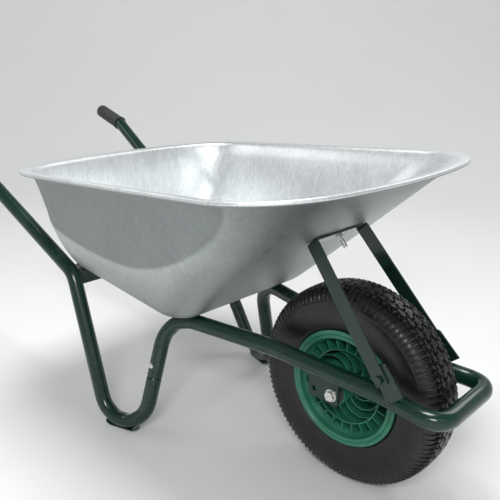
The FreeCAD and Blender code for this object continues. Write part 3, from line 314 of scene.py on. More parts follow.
def galvanised_material(name, dull, mid, bright, roughness, painted_shade_tone=None):
    """Zinc-coated sheet: brushed streaks up the walls, soft clouds and a faint spangle, with
    painted shade on the lenses and nose when given a shade tone.
    """
    material, tree, shader = new_material(name)
    fine = noise(tree, (1, 1, 0.012), 430, 3, 0.65)
    streaks = noise(tree, (1, 1, 0.022), 150, 4, 0.65)
    clouds = noise(tree, (1, 1, 1), 7, 5, 0.6)
    scratches = noise(tree, (0.06, 0.06, 1), 330, 2, 0.7)
    spangle = tree.nodes.new("ShaderNodeTexVoronoi")
    spangle.inputs["Scale"].default_value = 170
    tree.links.new(object_coordinates(tree, (1, 1, 1)), spangle.inputs["Vector"])
    grain = tree.nodes.new("ShaderNodeSeparateColor")
    tree.links.new(spangle.outputs["Color"], grain.inputs["Color"])
    cloud_tone = blend_colours(tree, ramp(tree, clouds, 0.36, 0.66, 0, 1), dull, mid)
    streak_tone = blend_colours(tree, ramp(tree, streaks, 0.38, 0.66, 0, 0.55), cloud_tone, bright)
    fine_tone = blend_colours(tree, ramp(tree, fine, 0.42, 0.66, 0, 0.62), streak_tone, dull)
    scratch_tone = blend_colours(tree, ramp(tree, scratches, 0.62, 0.78, 0, 0.35), fine_tone, dull)
    grain_tone = blend_colours(tree, ramp(tree, grain.outputs["Red"], 0, 1, 0, 0.12),
                               scratch_tone, bright)
    if painted_shade_tone is not None:
        grain_tone = painted_lens_shade(tree, grain_tone, painted_shade_tone)
    tree.links.new(grain_tone, shader.inputs["Base Color"])
    shader.inputs["Metallic"].default_value = 0.85
    tree.links.new(ramp(tree, streaks, 0.3, 0.7, roughness, roughness + 0.14),
                   shader.inputs["Roughness"])
    shader.inputs["Anisotropic"].default_value = 0.35
    coarse = bump(tree, shader, streaks, 0.00025, 0.4)
    bump(tree, shader, fine, 0.00008, 0.7, coarse)
    return material


def enamel_material(name, dark, light, roughness):
    """Glossy enamel with faint orange peel and thin dust."""
    material, tree, shader = new_material(name)
    patches = noise(tree, (1, 1, 1), 22, 5, 0.6)
    tone = blend_colours(tree, ramp(tree, patches, 0.35, 0.7, 0, 1), dark, light)
    dust = noise(tree, (1, 1, 1), 420, 2, 0.5)
    dusty = blend_colours(tree, ramp(tree, dust, 0.66, 0.8, 0, 0.25), tone, (0.10, 0.13, 0.12))
    tree.links.new(dusty, shader.inputs["Base Color"])
    tree.links.new(ramp(tree, patches, 0.3, 0.75, roughness, roughness + 0.10),
                   shader.inputs["Roughness"])
    shader.inputs["Specular IOR Level"].default_value = 0.3
    shader.inputs["Coat Weight"].default_value = 0.4
    shader.inputs["Coat Roughness"].default_value = 0.05
    bump(tree, shader, noise(tree, (1, 1, 1), 260, 3, 0.5), 0.00012, 0.1)
    return material


def zinc_material():
    """Bright zinc plate on fasteners: fine turning marks and dull spots."""
    material, tree, shader = new_material("zinc_plate")
    spots = noise(tree, (1, 1, 1), 300, 4, 0.6)
    tone = blend_colours(tree, ramp(tree, spots, 0.35, 0.7, 0, 1),
                         (0.60, 0.60, 0.56), (0.82, 0.82, 0.79))
    tree.links.new(tone, shader.inputs["Base Color"])
    shader.inputs["Metallic"].default_value = 1.0
    tree.links.new(ramp(tree, spots, 0.3, 0.7, 0.18, 0.36), shader.inputs["Roughness"])
    bump(tree, shader, noise(tree, (1, 1, 1), 1500, 2, 0.5), 0.00005, 0.4)
    return material


def rubber_material(name, dark, light, roughness, grain_scale, grain_depth):
    """Moulded rubber: mottled tone and a fine grain."""
    material, tree, shader = new_material(name)
    mottle = noise(tree, (1, 1, 1), 55, 5, 0.65)
    tone = blend_colours(tree, ramp(tree, mottle, 0.35, 0.72, 0, 1), dark, light)
    tree.links.new(tone, shader.inputs["Base Color"])
    tree.links.new(ramp(tree, mottle, 0.3, 0.75, roughness, roughness + 0.18),
                   shader.inputs["Roughness"])
    shader.inputs["Specular IOR Level"].default_value = 0.45
    bump(tree, shader, noise(tree, (1, 1, 1), grain_scale, 3, 0.6), grain_depth, 0.5)
    return material


def rim_plastic_material():
    """Moulded green plastic with flow marks and a fine skin texture."""
    material, tree, shader = new_material("rim_plastic")
    flow = noise(tree, (1, 0.4, 1), 18, 4, 0.55)
    tone = blend_colours(tree, ramp(tree, flow, 0.35, 0.7, 0, 1),
                         (0.018, 0.140, 0.080), (0.030, 0.190, 0.118))
    tree.links.new(tone, shader.inputs["Base Color"])
    tree.links.new(ramp(tree, flow, 0.3, 0.7, 0.30, 0.42), shader.inputs["Roughness"])
    shader.inputs["Specular IOR Level"].default_value = 0.5
    bump(tree, shader, noise(tree, (1, 1, 1), 900, 2, 0.5), 0.00006, 0.4)
    return material


def floor_material():
    """Seamless pale paper with the faintest mottling."""
    material, tree, shader = new_material("studio_paper")
    mottle = noise(tree, (1, 1, 1), 3, 3, 0.5)
    tone = blend_colours(tree, mottle, (0.86, 0.86, 0.86), (0.88, 0.88, 0.88))
    tree.links.new(tone, shader.inputs["Base Color"])
    shader.inputs["Roughness"].default_value = 0.7
    shader.inputs["Specular IOR Level"].default_value = 0.2
    return material


# One galvanised sheet in two copies: the inside painted lighter as painted light, the outside
# painted darker as painted shade, with more painted shade in its side lenses and high on its nose.
SHEET_INSIDE_PAINTED_LIGHT = galvanised_material("sheet_inside_painted_light", (0.60, 0.635, 0.645), (0.80, 0.83, 0.84),
                                   (0.95, 0.97, 0.97), 0.33)
SHEET_OUTSIDE_PAINTED_SHADE = galvanised_material("sheet_outside_painted_shade", (0.37, 0.405, 0.395), (0.47, 0.51, 0.50),
                                    (0.60, 0.645, 0.63), 0.40, (0.56, 0.57, 0.58))
ENAMEL = enamel_material("green_enamel", (0.002, 0.022, 0.014), (0.004, 0.031, 0.021), 0.20)
BAR_ENAMEL = enamel_material("bar_enamel", (0.005, 0.020, 0.014), (0.011, 0.032, 0.025), 0.27)
ZINC = zinc_material()
GRIP_RUBBER = rubber_material("grip_rubber", (0.020, 0.022, 0.024), (0.040, 0.043, 0.045),
                              0.45, 700, 0.0002)
TYRE_RUBBER = rubber_material("tyre_rubber", (0.004, 0.004, 0.004), (0.013, 0.013, 0.0125),
                              0.28, 500, 0.0003)
TUBE_RUBBER = rubber_material("tube_rubber", (0.014, 0.014, 0.014), (0.025, 0.025, 0.025),
                              0.5, 600, 0.0002)
NYLON = rubber_material("bush_nylon", (0.030, 0.030, 0.030), (0.050, 0.050, 0.048),
                        0.40, 900, 0.0001)
CAP_PLASTIC = rubber_material("cap_plastic", (0.020, 0.020, 0.020), (0.032, 0.032, 0.032),
                              0.35, 900, 0.0001)
RIM_PLASTIC = rim_plastic_material()


# ---------------------------------------------------------------- mesh helpers

def new_piece(name, vertices, faces, materials, body, sharp=40):
    """A mesh piece that rides on a CAD body, smooth except at edges of more than sharp degrees."""
    mesh = bpy.data.meshes.new(name)
    mesh.from_pydata([tuple(vertex) for vertex in vertices], [], faces)
    work = bmesh.new()
    work.from_mesh(mesh)
    bmesh.ops.recalc_face_normals(work, faces=work.faces)
    work.to_mesh(mesh)
    work.free()
    for material in materials:
        mesh.materials.append(material)
    mesh.shade_smooth()
    mesh.set_sharp_from_angle(angle=math.radians(sharp))
    piece = bpy.data.objects.new(name, mesh)
    bpy.context.scene.collection.objects.link(piece)
    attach(piece, body)
    return piece


def grid_faces(rows, columns, wrap_rows=False):
    """Quads between rows of points: each row closes on itself, and the rows may too."""
    faces = []
    for row in range(rows if wrap_rows else rows - 1):
        for column in range(columns):
            below = row * columns
            above = (row + 1) % rows * columns
            onward = (column + 1) % columns
            faces.append((below + column, below + onward, above + onward, above + column))
    return faces


def cap_faces(rows, columns):
    """The two end faces of a grid whose rows are closed rings."""
    first = tuple(range(columns))[::-1]
    last = tuple((rows - 1) * columns + column for column in range(columns))
    return [first, last]


# ---------------------------------------------------------------- tubes

def sampled_route(points, bends):
    """Points and bend data along a bent tube: (place, bend number or None, share, inward)."""
    samples = []
    start = points[0]
    for number, (before, corner, after, radius) in enumerate(
            zip(points, points[1:], points[2:], bends)):
        back = (before - corner).normalized()
        onward = (after - corner).normalized()
        half = back.angle(onward) / 2
        centre = corner + (back + onward).normalized() * (radius / math.sin(half))
        first = corner + back * (radius / math.tan(half))
        last = corner + onward * (radius / math.tan(half))
        samples += straight_samples(start, first)
        turn = math.pi - 2 * half
        steps = max(6, int(turn / BEND_STEP * (0.5 if radius > WIDE_BEND else 1)))
        axis = (first - centre).cross(last - centre).normalized()
        for step in range(steps + 1):
            spin = Matrix.Rotation(turn * step / steps, 3, axis)
            place = centre + spin @ (first - centre)
            inward = (centre - place).normalized()
            samples.append((place, number, step / steps, inward))
        start = last
    samples += straight_samples(start, points[-1])
    samples.append((points[-1], None, 0, Vector((0, 0, 1))))
    return samples


def straight_samples(start, end):
    """Evenly spaced places on a straight run, its end left out."""
    count = max(1, int((end - start).length / STRAIGHT_STEP))
    return [(start.lerp(end, index / count), None, 0, Vector((0, 0, 1)))
            for index in range(count)]


def swept_rings(samples, shape, around):
    """Rings square to a route; shape(sample, direction) gives each point's distance out."""
    places = [sample[0] for sample in samples]
    rings = []
    side = None
    for index, sample in enumerate(samples):
        before = places[max(index - 1, 0)]
        after = places[min(index + 1, len(places) - 1)]
        along = (after - before).normalized()
        if side is None:
            side = along.orthogonal().normalized()
        side = (side - along * side.dot(along)).normalized()
        other = along.cross(side)
        for step in range(around):
            angle = 2 * math.pi * step / around
            out = side * math.cos(angle) + other * math.sin(angle)
            rings.append(sample[0] + out * shape(sample, out))
    return rings


def bent_tube(name, samples, shape):
    """A closed solid tube of the frame along a route."""
    kept = [samples[0]]
    for sample in samples[1:]:
        if (sample[0] - kept[-1][0]).length > LEAST_STEP:
            kept.append(sample)
    rings = swept_rings(kept, shape, TUBE_COLUMNS)
    faces = grid_faces(len(kept), TUBE_COLUMNS) + cap_faces(len(kept), TUBE_COLUMNS)
    return new_piece(name, rings, faces, [ENAMEL], "frame")


def swell(share):
    """A smooth rise and fall along a bend."""
    return math.sin(math.pi * min(max(share, 0), 1)) ** 2


def crease(share):
    """A rise to a sharp crease at the middle of a bend, and back."""
    share = min(max(share, 0), 1)
    return (1 / math.cos(math.pi / 4 * (1 - abs(2 * share - 1))) - 1) / (math.sqrt(2) - 1)


def pressed_bend(press, swelling, ripples, crushed=()):
    """A tube's distance out where a die has pressed each bend's inner side and swelled its outer.

    A crushed bend is dented to one sharp crease, the others in ripples.
    """
    def shape(sample, out):
        _, number, share, inward = sample
        if number is None or number not in press:
            return TUBE_RADIUS
        facing = out.dot(inward)
        swollen = swelling.get(number, 0) * swell(share) * max(-facing, 0)
        if number in crushed:
            return TUBE_RADIUS - press[number] * crease(share) * max(facing, 0) ** 1.5 + swollen
        waves = 0.75 + 0.25 * math.sin(share * math.pi * 2 * ripples)
        return TUBE_RADIUS - press[number] * swell(share) * max(facing, 0) ** 3 * waves + swollen
    return shape


def mirrored_y(point, side):
    """A point of the left side, or its mirror on the right."""
    return Vector((point.x, point.y * side, point.z))


def on_front_arm(height):
    """The left leg's front arm at a height above the ground."""
    share = (height - LEG_CORNER.z) / (LEG_TOP.z - LEG_CORNER.z)
    return LEG_CORNER.lerp(LEG_TOP, share)


def rail_point(forward, left):
    """A place on the left side tube, forward of the axle."""
    rise = (FRONT_REACH - forward) * RAIL_SLOPE
    return Vector((AXLE_X + forward, left, FRONT_BAR_HEIGHT + rise))


def side_run(side):
    """The front frame tube's corners from one leg joint to the front corner."""
    run = [on_front_arm(LEG_JOINT_HEIGHT), LEG_TOP, rail_point(*RAIL_WIDE),
           rail_point(*RAIL_NARROW), rail_point(FRONT_REACH, FRONT_HALF_WIDTH)]
    return [mirrored_y(point, side) for point in run]


def handle_points(side):
    """The handle tube's corners from the grip end down to the leg joint."""
    way = Vector((-math.cos(GRIP_SLOPE), GRIP_SPLAY, math.sin(GRIP_SLOPE))).normalized()
    run = [GRIP_BEND + way * GRIP_RUN, GRIP_BEND, KNEE, LEG_CORNER,
           on_front_arm(LEG_JOINT_HEIGHT)]
    return [mirrored_y(point, side) for point in run]


def front_route(side):
    """Samples along the front frame tube, from one side's leg joint to the other's."""
    points = side_run(side) + side_run(-side)[::-1]
    return sampled_route(points, FRONT_TUBE_BENDS + FRONT_TUBE_BENDS[::-1])


def build_front_tube():
    """The front frame tube with its crushed front corners."""
    shape = pressed_bend(FRONT_PRESS, FRONT_SWELL, FRONT_RIPPLES, FRONT_CORNERS)
    piece = bent_tube("front_tube", front_route(LEFT), shape)
    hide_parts("front_frame_tube")


def build_handle_tube(side, word):
    """One handle tube, drawn in at the seam of its leg joint."""
    points = handle_points(side)
    seam = points[-1]
    away = (points[-2] - seam).normalized()
    samples = [sample for sample in sampled_route(points, HANDLE_BENDS)
               if (sample[0] - seam).length > SEAM_REACH]
    samples += [(seam + away * gap, None, 0, Vector((0, 0, 1))) for gap in SEAM_GAPS]
    bends = pressed_bend(HANDLE_PRESS, HANDLE_SWELL, HANDLE_RIPPLES)

    def shape(sample, out):
        distance = (sample[0] - seam).length
        return bends(sample, out) - SEAM_DEPTH * math.exp(-(distance / SEAM_WIDTH) ** 2)

    piece = bent_tube(f"{word}_handle", samples, shape)
    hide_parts(f"{word}_handle_tube")


# ---------------------------------------------------------------- tray

def side_arc(start, middle, end, count):
    """Points on the circle through three plan points, the last left out."""
    chord = end - start
    rise = (middle - (start + end) / 2).length
    if rise < 1e-5:
        return [start.lerp(end, index / count) for index in range(count)]
    radius = (chord.length ** 2 / 4 + rise ** 2) / (2 * rise)
    outward = (middle - (start + end) / 2).normalized()
    centre = middle - outward * radius
    half = math.asin(chord.length / 2 / radius)
    along = chord.normalized()
    points = []
    for index in range(count):
        angle = -half + 2 * half * index / count
        points.append(centre + outward * radius * math.cos(angle)
                      + along * radius * math.sin(angle))
    return points


def plan_outline(plan):
    """A plan outline of four bowed sides and four smooth corners, from the rear right."""
    rear, front, rear_half, front_half, rear_corner, front_corner, bows = plan
    places = [Vector((rear, -rear_half)), Vector((front, -front_half)),
              Vector((front, front_half)), Vector((rear, rear_half))]
    radii = [rear_corner, front_corner, front_corner, rear_corner]
    outward = [Vector((0, -1)), Vector((1, 0)), Vector((0, 1)), Vector((-1, 0))]
    reaches = []
    for index, radius in enumerate(radii):
        back = places[index - 1] - places[index]
        onward = places[(index + 1) % 4] - places[index]
        reaches.append(radius / math.tan(back.angle(onward) / 2))
    sides = []
    for index in range(4):
        here = places[index]
        there = places[(index + 1) % 4]
        way = (there - here).normalized()
        start = here + way * reaches[index]
        end = there - way * reaches[(index + 1) % 4]
        bow = max(bows[index], LEAST_BOW)
        sides.append((start, (start + end) / 2 + outward[index] * bow, end, way, bow))
    outline = []
    for index, (start, middle, end, way, bow) in enumerate(sides):
        outline += side_arc(start, middle, end, SIDE_COLUMNS)
        onward = (index + 1) % 4
        following, _, next_end, next_way, next_bow = sides[onward]
        leaving = turned_by_bow(way, outward[index], -bow, (end - start).length)
        arriving = turned_by_bow(next_way, outward[onward], next_bow,
                                 (next_end - following).length)
        reach = CORNER_HANDLE * radii[onward]
        poles = [end, end + leaving * reach, following - arriving * reach, following]
        for step in range(CORNER_COLUMNS):
            share = step / CORNER_COLUMNS
            weights = ((1 - share) ** 3, 3 * share * (1 - share) ** 2,
                       3 * share ** 2 * (1 - share), share ** 3)
            outline.append(sum((pole * weight for pole, weight in zip(poles, weights)),
                               Vector((0, 0))))
    return outline


def turned_by_bow(way, outward, bow, length):
    """The direction of a bowed side at its end."""
    slope = 4 * bow / length
    return (way + outward * slope).normalized()


def shrunk(plan, inset):
    """A plan with all its sides moved in by an inset."""
    rear, front, rear_half, front_half, rear_corner, front_corner, bows = plan
    return (rear + inset, front - inset, rear_half - inset, front_half - inset,
            max(rear_corner - inset, LEAST_CORNER), max(front_corner - inset, LEAST_CORNER), bows)


def level_at(plan, heights, along):
    """The height of a tilted tray plane at a place along the barrow."""
    return heights[0] + (along - plan[0]) * (heights[1] - heights[0]) / (plan[1] - plan[0])


def flat_ring(plan, heights, inset, lift):
    """A ring of the tray parallel to its floor or its rim."""
    return [Vector((x, y, level_at(plan, heights, x) + lift))
            for x, y in plan_outline(shrunk(plan, inset))]


def floor_ring(inset, lift):
    """A ring parallel to the floor's edge."""
    return flat_ring(FLOOR_PLAN, FLOOR_HEIGHTS, inset, lift)


def rim_ring(inset, lift):
    """A ring parallel to the rim."""
    return flat_ring(RIM_PLAN, RIM_HEIGHTS, inset, lift)


def wall_ring(foot, head, share):
    """A ring part of the way up the walls, which bulge a little outward."""
    low = shrunk(FLOOR_PLAN, foot[0])
    high = shrunk(RIM_PLAN, head[0])
    plan = [below + (above - below) * share for below, above in zip(low[:6], high[:6])]
    ends = []
    for end in (0, 1):
        low_z = level_at(FLOOR_PLAN, FLOOR_HEIGHTS, low[end]) + foot[1]
        high_z = level_at(RIM_PLAN, RIM_HEIGHTS, high[end]) + head[1]
        ends.append(low_z + (high_z - low_z) * share)
    bulge = WALL_BULGE * BULGE_SHAPE * share * (1 - share) ** 2
    bows = tuple(bow * share for bow in RIM_PLAN[6])
    bulged = (plan[0] - bulge, plan[1], plan[2] + bulge, plan[3] + bulge, plan[4] + bulge,
              plan[5] + bulge / 2, bows)
    return [Vector((x, y, level_at(plan, ends, x))) for x, y in plan_outline(bulged)]


def inside_lens(point):
    """How far a point lies inside the pressed lens under the rim on its side, negative outside."""
    below_rim = max(level_at(RIM_PLAN, RIM_HEIGHTS, point.x) - point.z, 0)
    along = point.x - LENS_MIDDLE
    half_length, power = LENS_FRONT if along > 0 else LENS_REAR
    reach = ((abs(along) / half_length) ** power
             + (below_rim / LENS_DEPTH) ** power) ** (1 / power)
    beside = min(abs(point.y) - LENS_LEAST_Y, 0)
    return (1 - reach) * LENS_DEPTH + beside


def pressed_sides(ring):
    """A ring whose sides are pressed in a little inside the lens, fading out at the rim."""
    pressed = []
    for point in ring:
        below_rim = level_at(RIM_PLAN, RIM_HEIGHTS, point.x) - point.z
        share = (min(max(inside_lens(point) / LENS_EDGE, 0), 1)
                 * min(max(below_rim / LENS_FADE, 0), 1))
        depth = LENS_PRESS * share * share * (3 - 2 * share)
        pressed.append(Vector((point.x, math.copysign(abs(point.y) - depth, point.y), point.z)))
    return pressed


def curve_between(first, control, last, steps):
    """Rings on a smooth curve from one ring to another, both ends left out."""
    rings = []
    for step in range(1, steps):
        share = step / steps
        rings.append([start * (1 - share) ** 2 + pull * 2 * share * (1 - share) + end * share ** 2
                      for start, pull, end in zip(first, control, last)])
    return rings


def run_on(ring, other, reach):
    """Where lines from one ring through another come to, at given rises above the first."""
    return [low + (high - low) * (rise / (high.z - low.z))
            for low, high, rise in zip(ring, other, reach)]


def wall_edges(inset, lift):
    """The inset and lift of the walls at their foot and at their head."""
    return ((FOOT_INSET + inset, FOOT_LIFT + lift),
            (WALL_TOP + inset, LEDGE_HEIGHT + HEAD_LIFT + LEDGE_DIP - SHEET + lift))


def tray_face(inset, lift):
    """One face of the sheet, from the floor's flat up its walls to the flat ledge."""
    ledge_lift = LEDGE_HEIGHT - SHEET + lift
    foot, head = wall_edges(inset, lift)
    walls = [pressed_sides(wall_ring(foot, head, share)) for share in WALL_SHARES]
    floor = [floor_ring(floor_inset, lift) for floor_inset in FLOOR_INSETS]
    below = [level_at(FLOOR_PLAN, FLOOR_HEIGHTS, point.x) + lift - point.z for point in walls[0]]
    corner = run_on(walls[0], walls[1], below)
    ledge = rim_ring(WALL_TOP - LEDGE_WIDTH, ledge_lift)
    above = [level_at(RIM_PLAN, RIM_HEIGHTS, point.x) + ledge_lift - point.z
             for point in walls[-1]]
    beyond = [2 * last - before for before, last in zip(walls[-2], walls[-1])]
    brow = run_on(walls[-1], beyond, above)
    return (floor + curve_between(floor[-1], corner, walls[0], FOOT_RINGS + 1) + walls
            + curve_between(walls[-1], brow, ledge, BROW_RINGS + 1)
            + [ledge, rim_ring(LEDGE_END, ledge_lift)])


def rolled_bead(radius):
    """The rolled edge of one face of the sheet, from its upper side round to its end."""
    return [rim_ring(BEAD_RADIUS - radius * math.cos(turn), radius * math.sin(turn) - RIM_DROP)
            for turn in BEAD_TURNS]


def build_tray():
    """The tray as one sheet: floor, rounded foot, walls with pressed lenses, ledge, rolled bead."""
    upper = tray_face(INNER_INSET, SHEET)
    lower = tray_face(0, 0)
    rings = (upper + rolled_bead(BEAD_RADIUS) + rolled_bead(BEAD_RADIUS - SHEET)[::-1]
             + lower[::-1])
    columns = len(rings[0])
    vertices = [point for ring in rings for point in ring]
    faces = grid_faces(len(rings), columns)
    for ring, turn in ((0, 1), (len(rings) - 1, -1)):
        first = ring * columns
        middle = sum(rings[ring], Vector((0, 0, 0))) / columns
        vertices.append(middle)
        faces += [(len(vertices) - 1, first + (column + 1) % columns, first + column)[::turn]
                  for column in range(columns)]
    piece = new_piece("tray_sheet", vertices, faces, [SHEET_INSIDE_PAINTED_LIGHT, SHEET_OUTSIDE_PAINTED_SHADE],
                      "frame", sharp=50)
    # The upper face, its floor cap and the first half of the bead take the painted-light copy; the
    # rest of the bead, the lower face and its floor cap take the painted-shade copy.
    painted_light_end = (len(upper) + len(BEAD_TURNS) // 2) * columns
    quads = (len(rings) - 1) * columns
    for number, polygon in enumerate(piece.data.polygons):
        outside = painted_light_end <= number < quads or number >= quads + columns
        polygon.material_index = 1 if outside else 0
    # Lens depths for the painted shade, set on the outer wall rings only; all other points keep 0.
    layer = piece.data.attributes.new(LENS_LAYER, "FLOAT", "POINT")
    above_foot = len(FLOOR_INSETS) + FOOT_RINGS + len(WALL_SHARES)
    vertex = (len(rings) - above_foot) * columns
    for share in reversed(WALL_SHARES):
        for point in wall_ring(*wall_edges(0, 0), share):
            layer.data[vertex].value = inside_lens(point)
            vertex += 1
    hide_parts("tray")


# ---------------------------------------------------------------- wheel

def tyre_profile():
    """The tyre's bare outside from bead to bead: (half width place, radius)."""
    return list(TYRE_SIDE) + [(-across, radius) for across, radius in TYRE_SIDE[-2::-1]]


def smooth_profile(points, count):
    """Evenly spaced places along a smoothed line of points."""
    line = np.array(points, float)
    for _ in range(PROFILE_CUTS):
        first = line[:-1] * 0.75 + line[1:] * 0.25
        second = line[:-1] * 0.25 + line[1:] * 0.75
        cut = np.empty((len(first) * 2, 2))
        cut[0::2] = first
        cut[1::2] = second
        line = np.vstack([line[:1], cut, line[-1:]])
    steps = np.hypot(*np.diff(line, axis=0).T)
    lengths = np.concatenate([[0], np.cumsum(steps)])
    wanted = np.linspace(0, lengths[-1], count)
    across = np.interp(wanted, lengths, line[:, 0])
    radius = np.interp(wanted, lengths, line[:, 1])
    return across, radius, wanted - lengths[-1] / 2


def build_tyre():
    """Tyre casing with raised tread blocks, shoulder lugs and sidewall rings."""
    around = PITCH_SAMPLES * TREAD_PITCHES
    across, radius, along = smooth_profile(tyre_profile(), PROFILE_POINTS)
    half = np.concatenate([np.arange(0.0, TREAD_REACH, TREAD_SPACING),
                           np.arange(TREAD_REACH, along[-1], WALL_SPACING)])
    kept = np.concatenate([-half[:0:-1], half])
    out_across = np.gradient(radius, along)
    out_radius = -np.gradient(across, along)
    across, radius, out_across, out_radius = (
        np.interp(kept, along, line) for line in (across, radius, out_across, out_radius))
    angle = np.linspace(0, 2 * math.pi, around, endpoint=False)
    turn, place = np.meshgrid(angle, kept, indexing="ij")
    height = tread_height(turn, place)
    ring_across = across[None, :] + height * out_across[None, :]
    ring_radius = radius[None, :] + height * out_radius[None, :]
    ring_radius = np.minimum(ring_radius, TYRE_RADIUS - TYRE_MARGIN)
    ring_across = np.clip(ring_across, -TYRE_HALF_WIDTH, TYRE_HALF_WIDTH)
    columns = len(kept) + len(TYRE_INSIDE)
    inner_across, inner_radius = np.array(TYRE_INSIDE).T
    all_across = np.hstack([ring_across, np.tile(inner_across, (around, 1))])
    all_radius = np.hstack([ring_radius, np.tile(inner_radius, (around, 1))])
    x = AXLE_X + all_radius * np.sin(angle)[:, None]
    z = AXLE_Z + all_radius * np.cos(angle)[:, None]
    vertices = np.stack([x, all_across, z], axis=-1).reshape(-1, 3)
    faces = grid_faces(around, columns, wrap_rows=True)
    piece = new_piece("tyre_tread", vertices, faces, [TYRE_RUBBER], "wheel",
                      sharp=32)
    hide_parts("tyre")


def bar(value, low, high, edge):
    """1 between two limits, 0 outside, with a short ramp at each."""
    rise = np.clip((value - low) / edge + 0.5, 0, 1)
    fall = np.clip((high - value) / edge + 0.5, 0, 1)
    return rise * fall


def zigzag(phase):
    """A wave of period 1 between -1 and 1 with flat tops."""
    return np.clip(ZIGZAG_STEEPNESS * (4 * np.abs(phase % 1.0 - 0.5) - 1), -1, 1)


def groove(distance, width):
    """0 on a groove's line, 1 beyond its walls."""
    return np.clip((np.abs(distance) - width / 2) / GROOVE_WALL, 0, 1)


def to_nearest(phase, length):
    """Signed distance along the tyre to the nearest whole phase."""
    return ((phase + 0.5) % 1.0 - 0.5) * length


def wavy_line(line, phase):
    """A circumferential line's distance from the crown, waving to each side of its middle."""
    middle, swing = line
    return middle + swing * zigzag(phase)


def tread_blocks(phase, place, pitch):
    """The centre and middle rows of blocks, from 0 in a groove to 1 on a block."""
    off = np.abs(place)
    inner_line = wavy_line(INNER_LINE, phase)
    outer_line = wavy_line(OUTER_LINE, phase + 0.5)
    centre_jog = CENTRE_JOG * zigzag(place / CENTRE_JOG_LENGTH + 0.25)
    centre_cut = groove(to_nearest(phase + 0.5 * (place < 0) + centre_jog, pitch), CUT_WIDTH)
    centre_notch = groove(to_nearest(phase + 0.5, pitch), NOTCH_WIDTH) + (off < CENTRE_SOLID)
    middle_jog = MIDDLE_JOG * zigzag((off - INNER_LINE[0]) / (OUTER_LINE[0] - INNER_LINE[0]))
    middle_cut = groove(to_nearest(phase + MIDDLE_PHASE + middle_jog, pitch), CUT_WIDTH)
    middle_notch = (groove(to_nearest(phase - MIDDLE_NOTCH_PHASE, pitch), NOTCH_WIDTH)
                    + bar(off, *MIDDLE_SOLID, SOLID_EDGE))
    in_centre = off < inner_line
    in_middle = (off >= inner_line) & (off < outer_line)
    blocks = np.where(in_centre, centre_cut * np.clip(centre_notch, NOTCH_FLOOR, 1), 1.0)
    blocks = np.where(in_middle, middle_cut * np.clip(middle_notch, NOTCH_FLOOR, 1), blocks)
    return blocks * groove(off - inner_line, LINE_WIDTH) * groove(off - outer_line, LINE_WIDTH)


def shoulder_lugs(phase, off, pitch):
    """Two lugs to a pitch, one long and one short, each thinning to a rib down the shoulder."""
    spacing = pitch / 2
    cut = np.abs(to_nearest(2 * phase + LUG_PHASE, spacing))
    rib = np.clip((spacing * RIB_SHARE - cut) / RIB_EDGE + 0.5, 0, 1)
    top = np.clip((spacing * LUG_TOP_SHARE - cut) / LUG_TOP_EDGE + 0.5, 0, 1)
    end = np.where((phase + LUG_PHASE / 2) % 1.0 < 0.5, *LUG_ENDS)
    highest, lowest = RIB_HEIGHTS
    taper = np.clip(highest - (off - RIB_START) / RIB_RUN, lowest, 1)
    return np.where(off < LUG_TOP_END, top, rib * taper) * bar(off, 0.0, end, LUG_END_EDGE)


def tread_height(turn, place):
    """Height of the tread over the casing at each turn and place across, in metres."""
    pitch = 2 * math.pi / TREAD_PITCHES * TREAD_RADIUS
    phase = turn * TREAD_PITCHES / (2 * math.pi) + np.where(place > 0, 0.0, 0.5)
    off = np.abs(place)
    outer_line = wavy_line(OUTER_LINE, phase + 0.5)
    lugs = shoulder_lugs(phase, off, pitch) * groove(off - outer_line, LINE_WIDTH)
    blocks = tread_blocks(phase, place, pitch)
    height = TREAD_DEPTH * np.where(off > outer_line, lugs, blocks)
    rings = sum(rise * bar(off, low, high, RING_EDGE) for low, high, rise in SIDEWALL_RINGS)
    waves = 0.5 + 0.5 * np.cos(turn * RAYS_PER_PITCH * TREAD_PITCHES)
    return height + rings + RAY_HEIGHT * waves * bar(off, *RAY_BAND, RAY_EDGE)


# ---------------------------------------------------------------- small pieces

def turned_piece(name, profile, start, way, material, body, around):
    """A closed shape turned round an axis: profile is (along, radius) from end to end."""
    way = way.normalized()
    side = way.orthogonal().normalized()
    other = way.cross(side)
    vertices = []
    for along, radius in profile:
        for step in range(around):
            angle = 2 * math.pi * step / around
            vertices.append(start + way * along
                            + (side * math.cos(angle) + other * math.sin(angle)) * radius)
    faces = grid_faces(len(profile), around) + cap_faces(len(profile), around)
    return new_piece(name, vertices, faces, [material], body, sharp=35)


def build_grip(side, word):
    """A ribbed rubber sleeve with a collar at its mouth and a rounded end."""
    end, bend = handle_points(side)[:2]
    way = (end - bend).normalized()
    mouth = end - way * (GRIP_LENGTH - GRIP_OVERHANG)
    profile = [(0.0, TUBE_RADIUS + 0.0002), (0.0, GRIP_RADIUS + 0.0010),
               (0.0008, GRIP_RADIUS + 0.0015), (0.0040, GRIP_RADIUS + 0.0015),
               (0.0052, GRIP_RADIUS + 0.0006), (0.0062, GRIP_RADIUS)]
    for index in range(GRIP_RIBS + 1):
        along = RIBS_START + (GRIP_LENGTH - RIBS_MARGIN) * index / GRIP_RIBS
        dip = RIB_DEPTH * (0.5 + 0.5 * math.cos(index * math.pi / 2))
        profile.append((along, GRIP_RADIUS - dip))
    profile += [(GRIP_LENGTH - 0.0050, GRIP_RADIUS), (GRIP_LENGTH - 0.0025, GRIP_RADIUS - 0.0008),
                (GRIP_LENGTH - 0.0008, GRIP_RADIUS - 0.0024), (GRIP_LENGTH, GRIP_RADIUS - 0.0050),
                (GRIP_LENGTH - 0.0006, GRIP_RADIUS - 0.0110), (GRIP_LENGTH - 0.0002, 0.0040),
                (GRIP_LENGTH - 0.0002, 0.0005)]
    piece = turned_piece(f"{word}_grip_sleeve", profile, mouth, way, GRIP_RUBBER,
                         "frame", 56)
    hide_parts(f"{word}_grip")


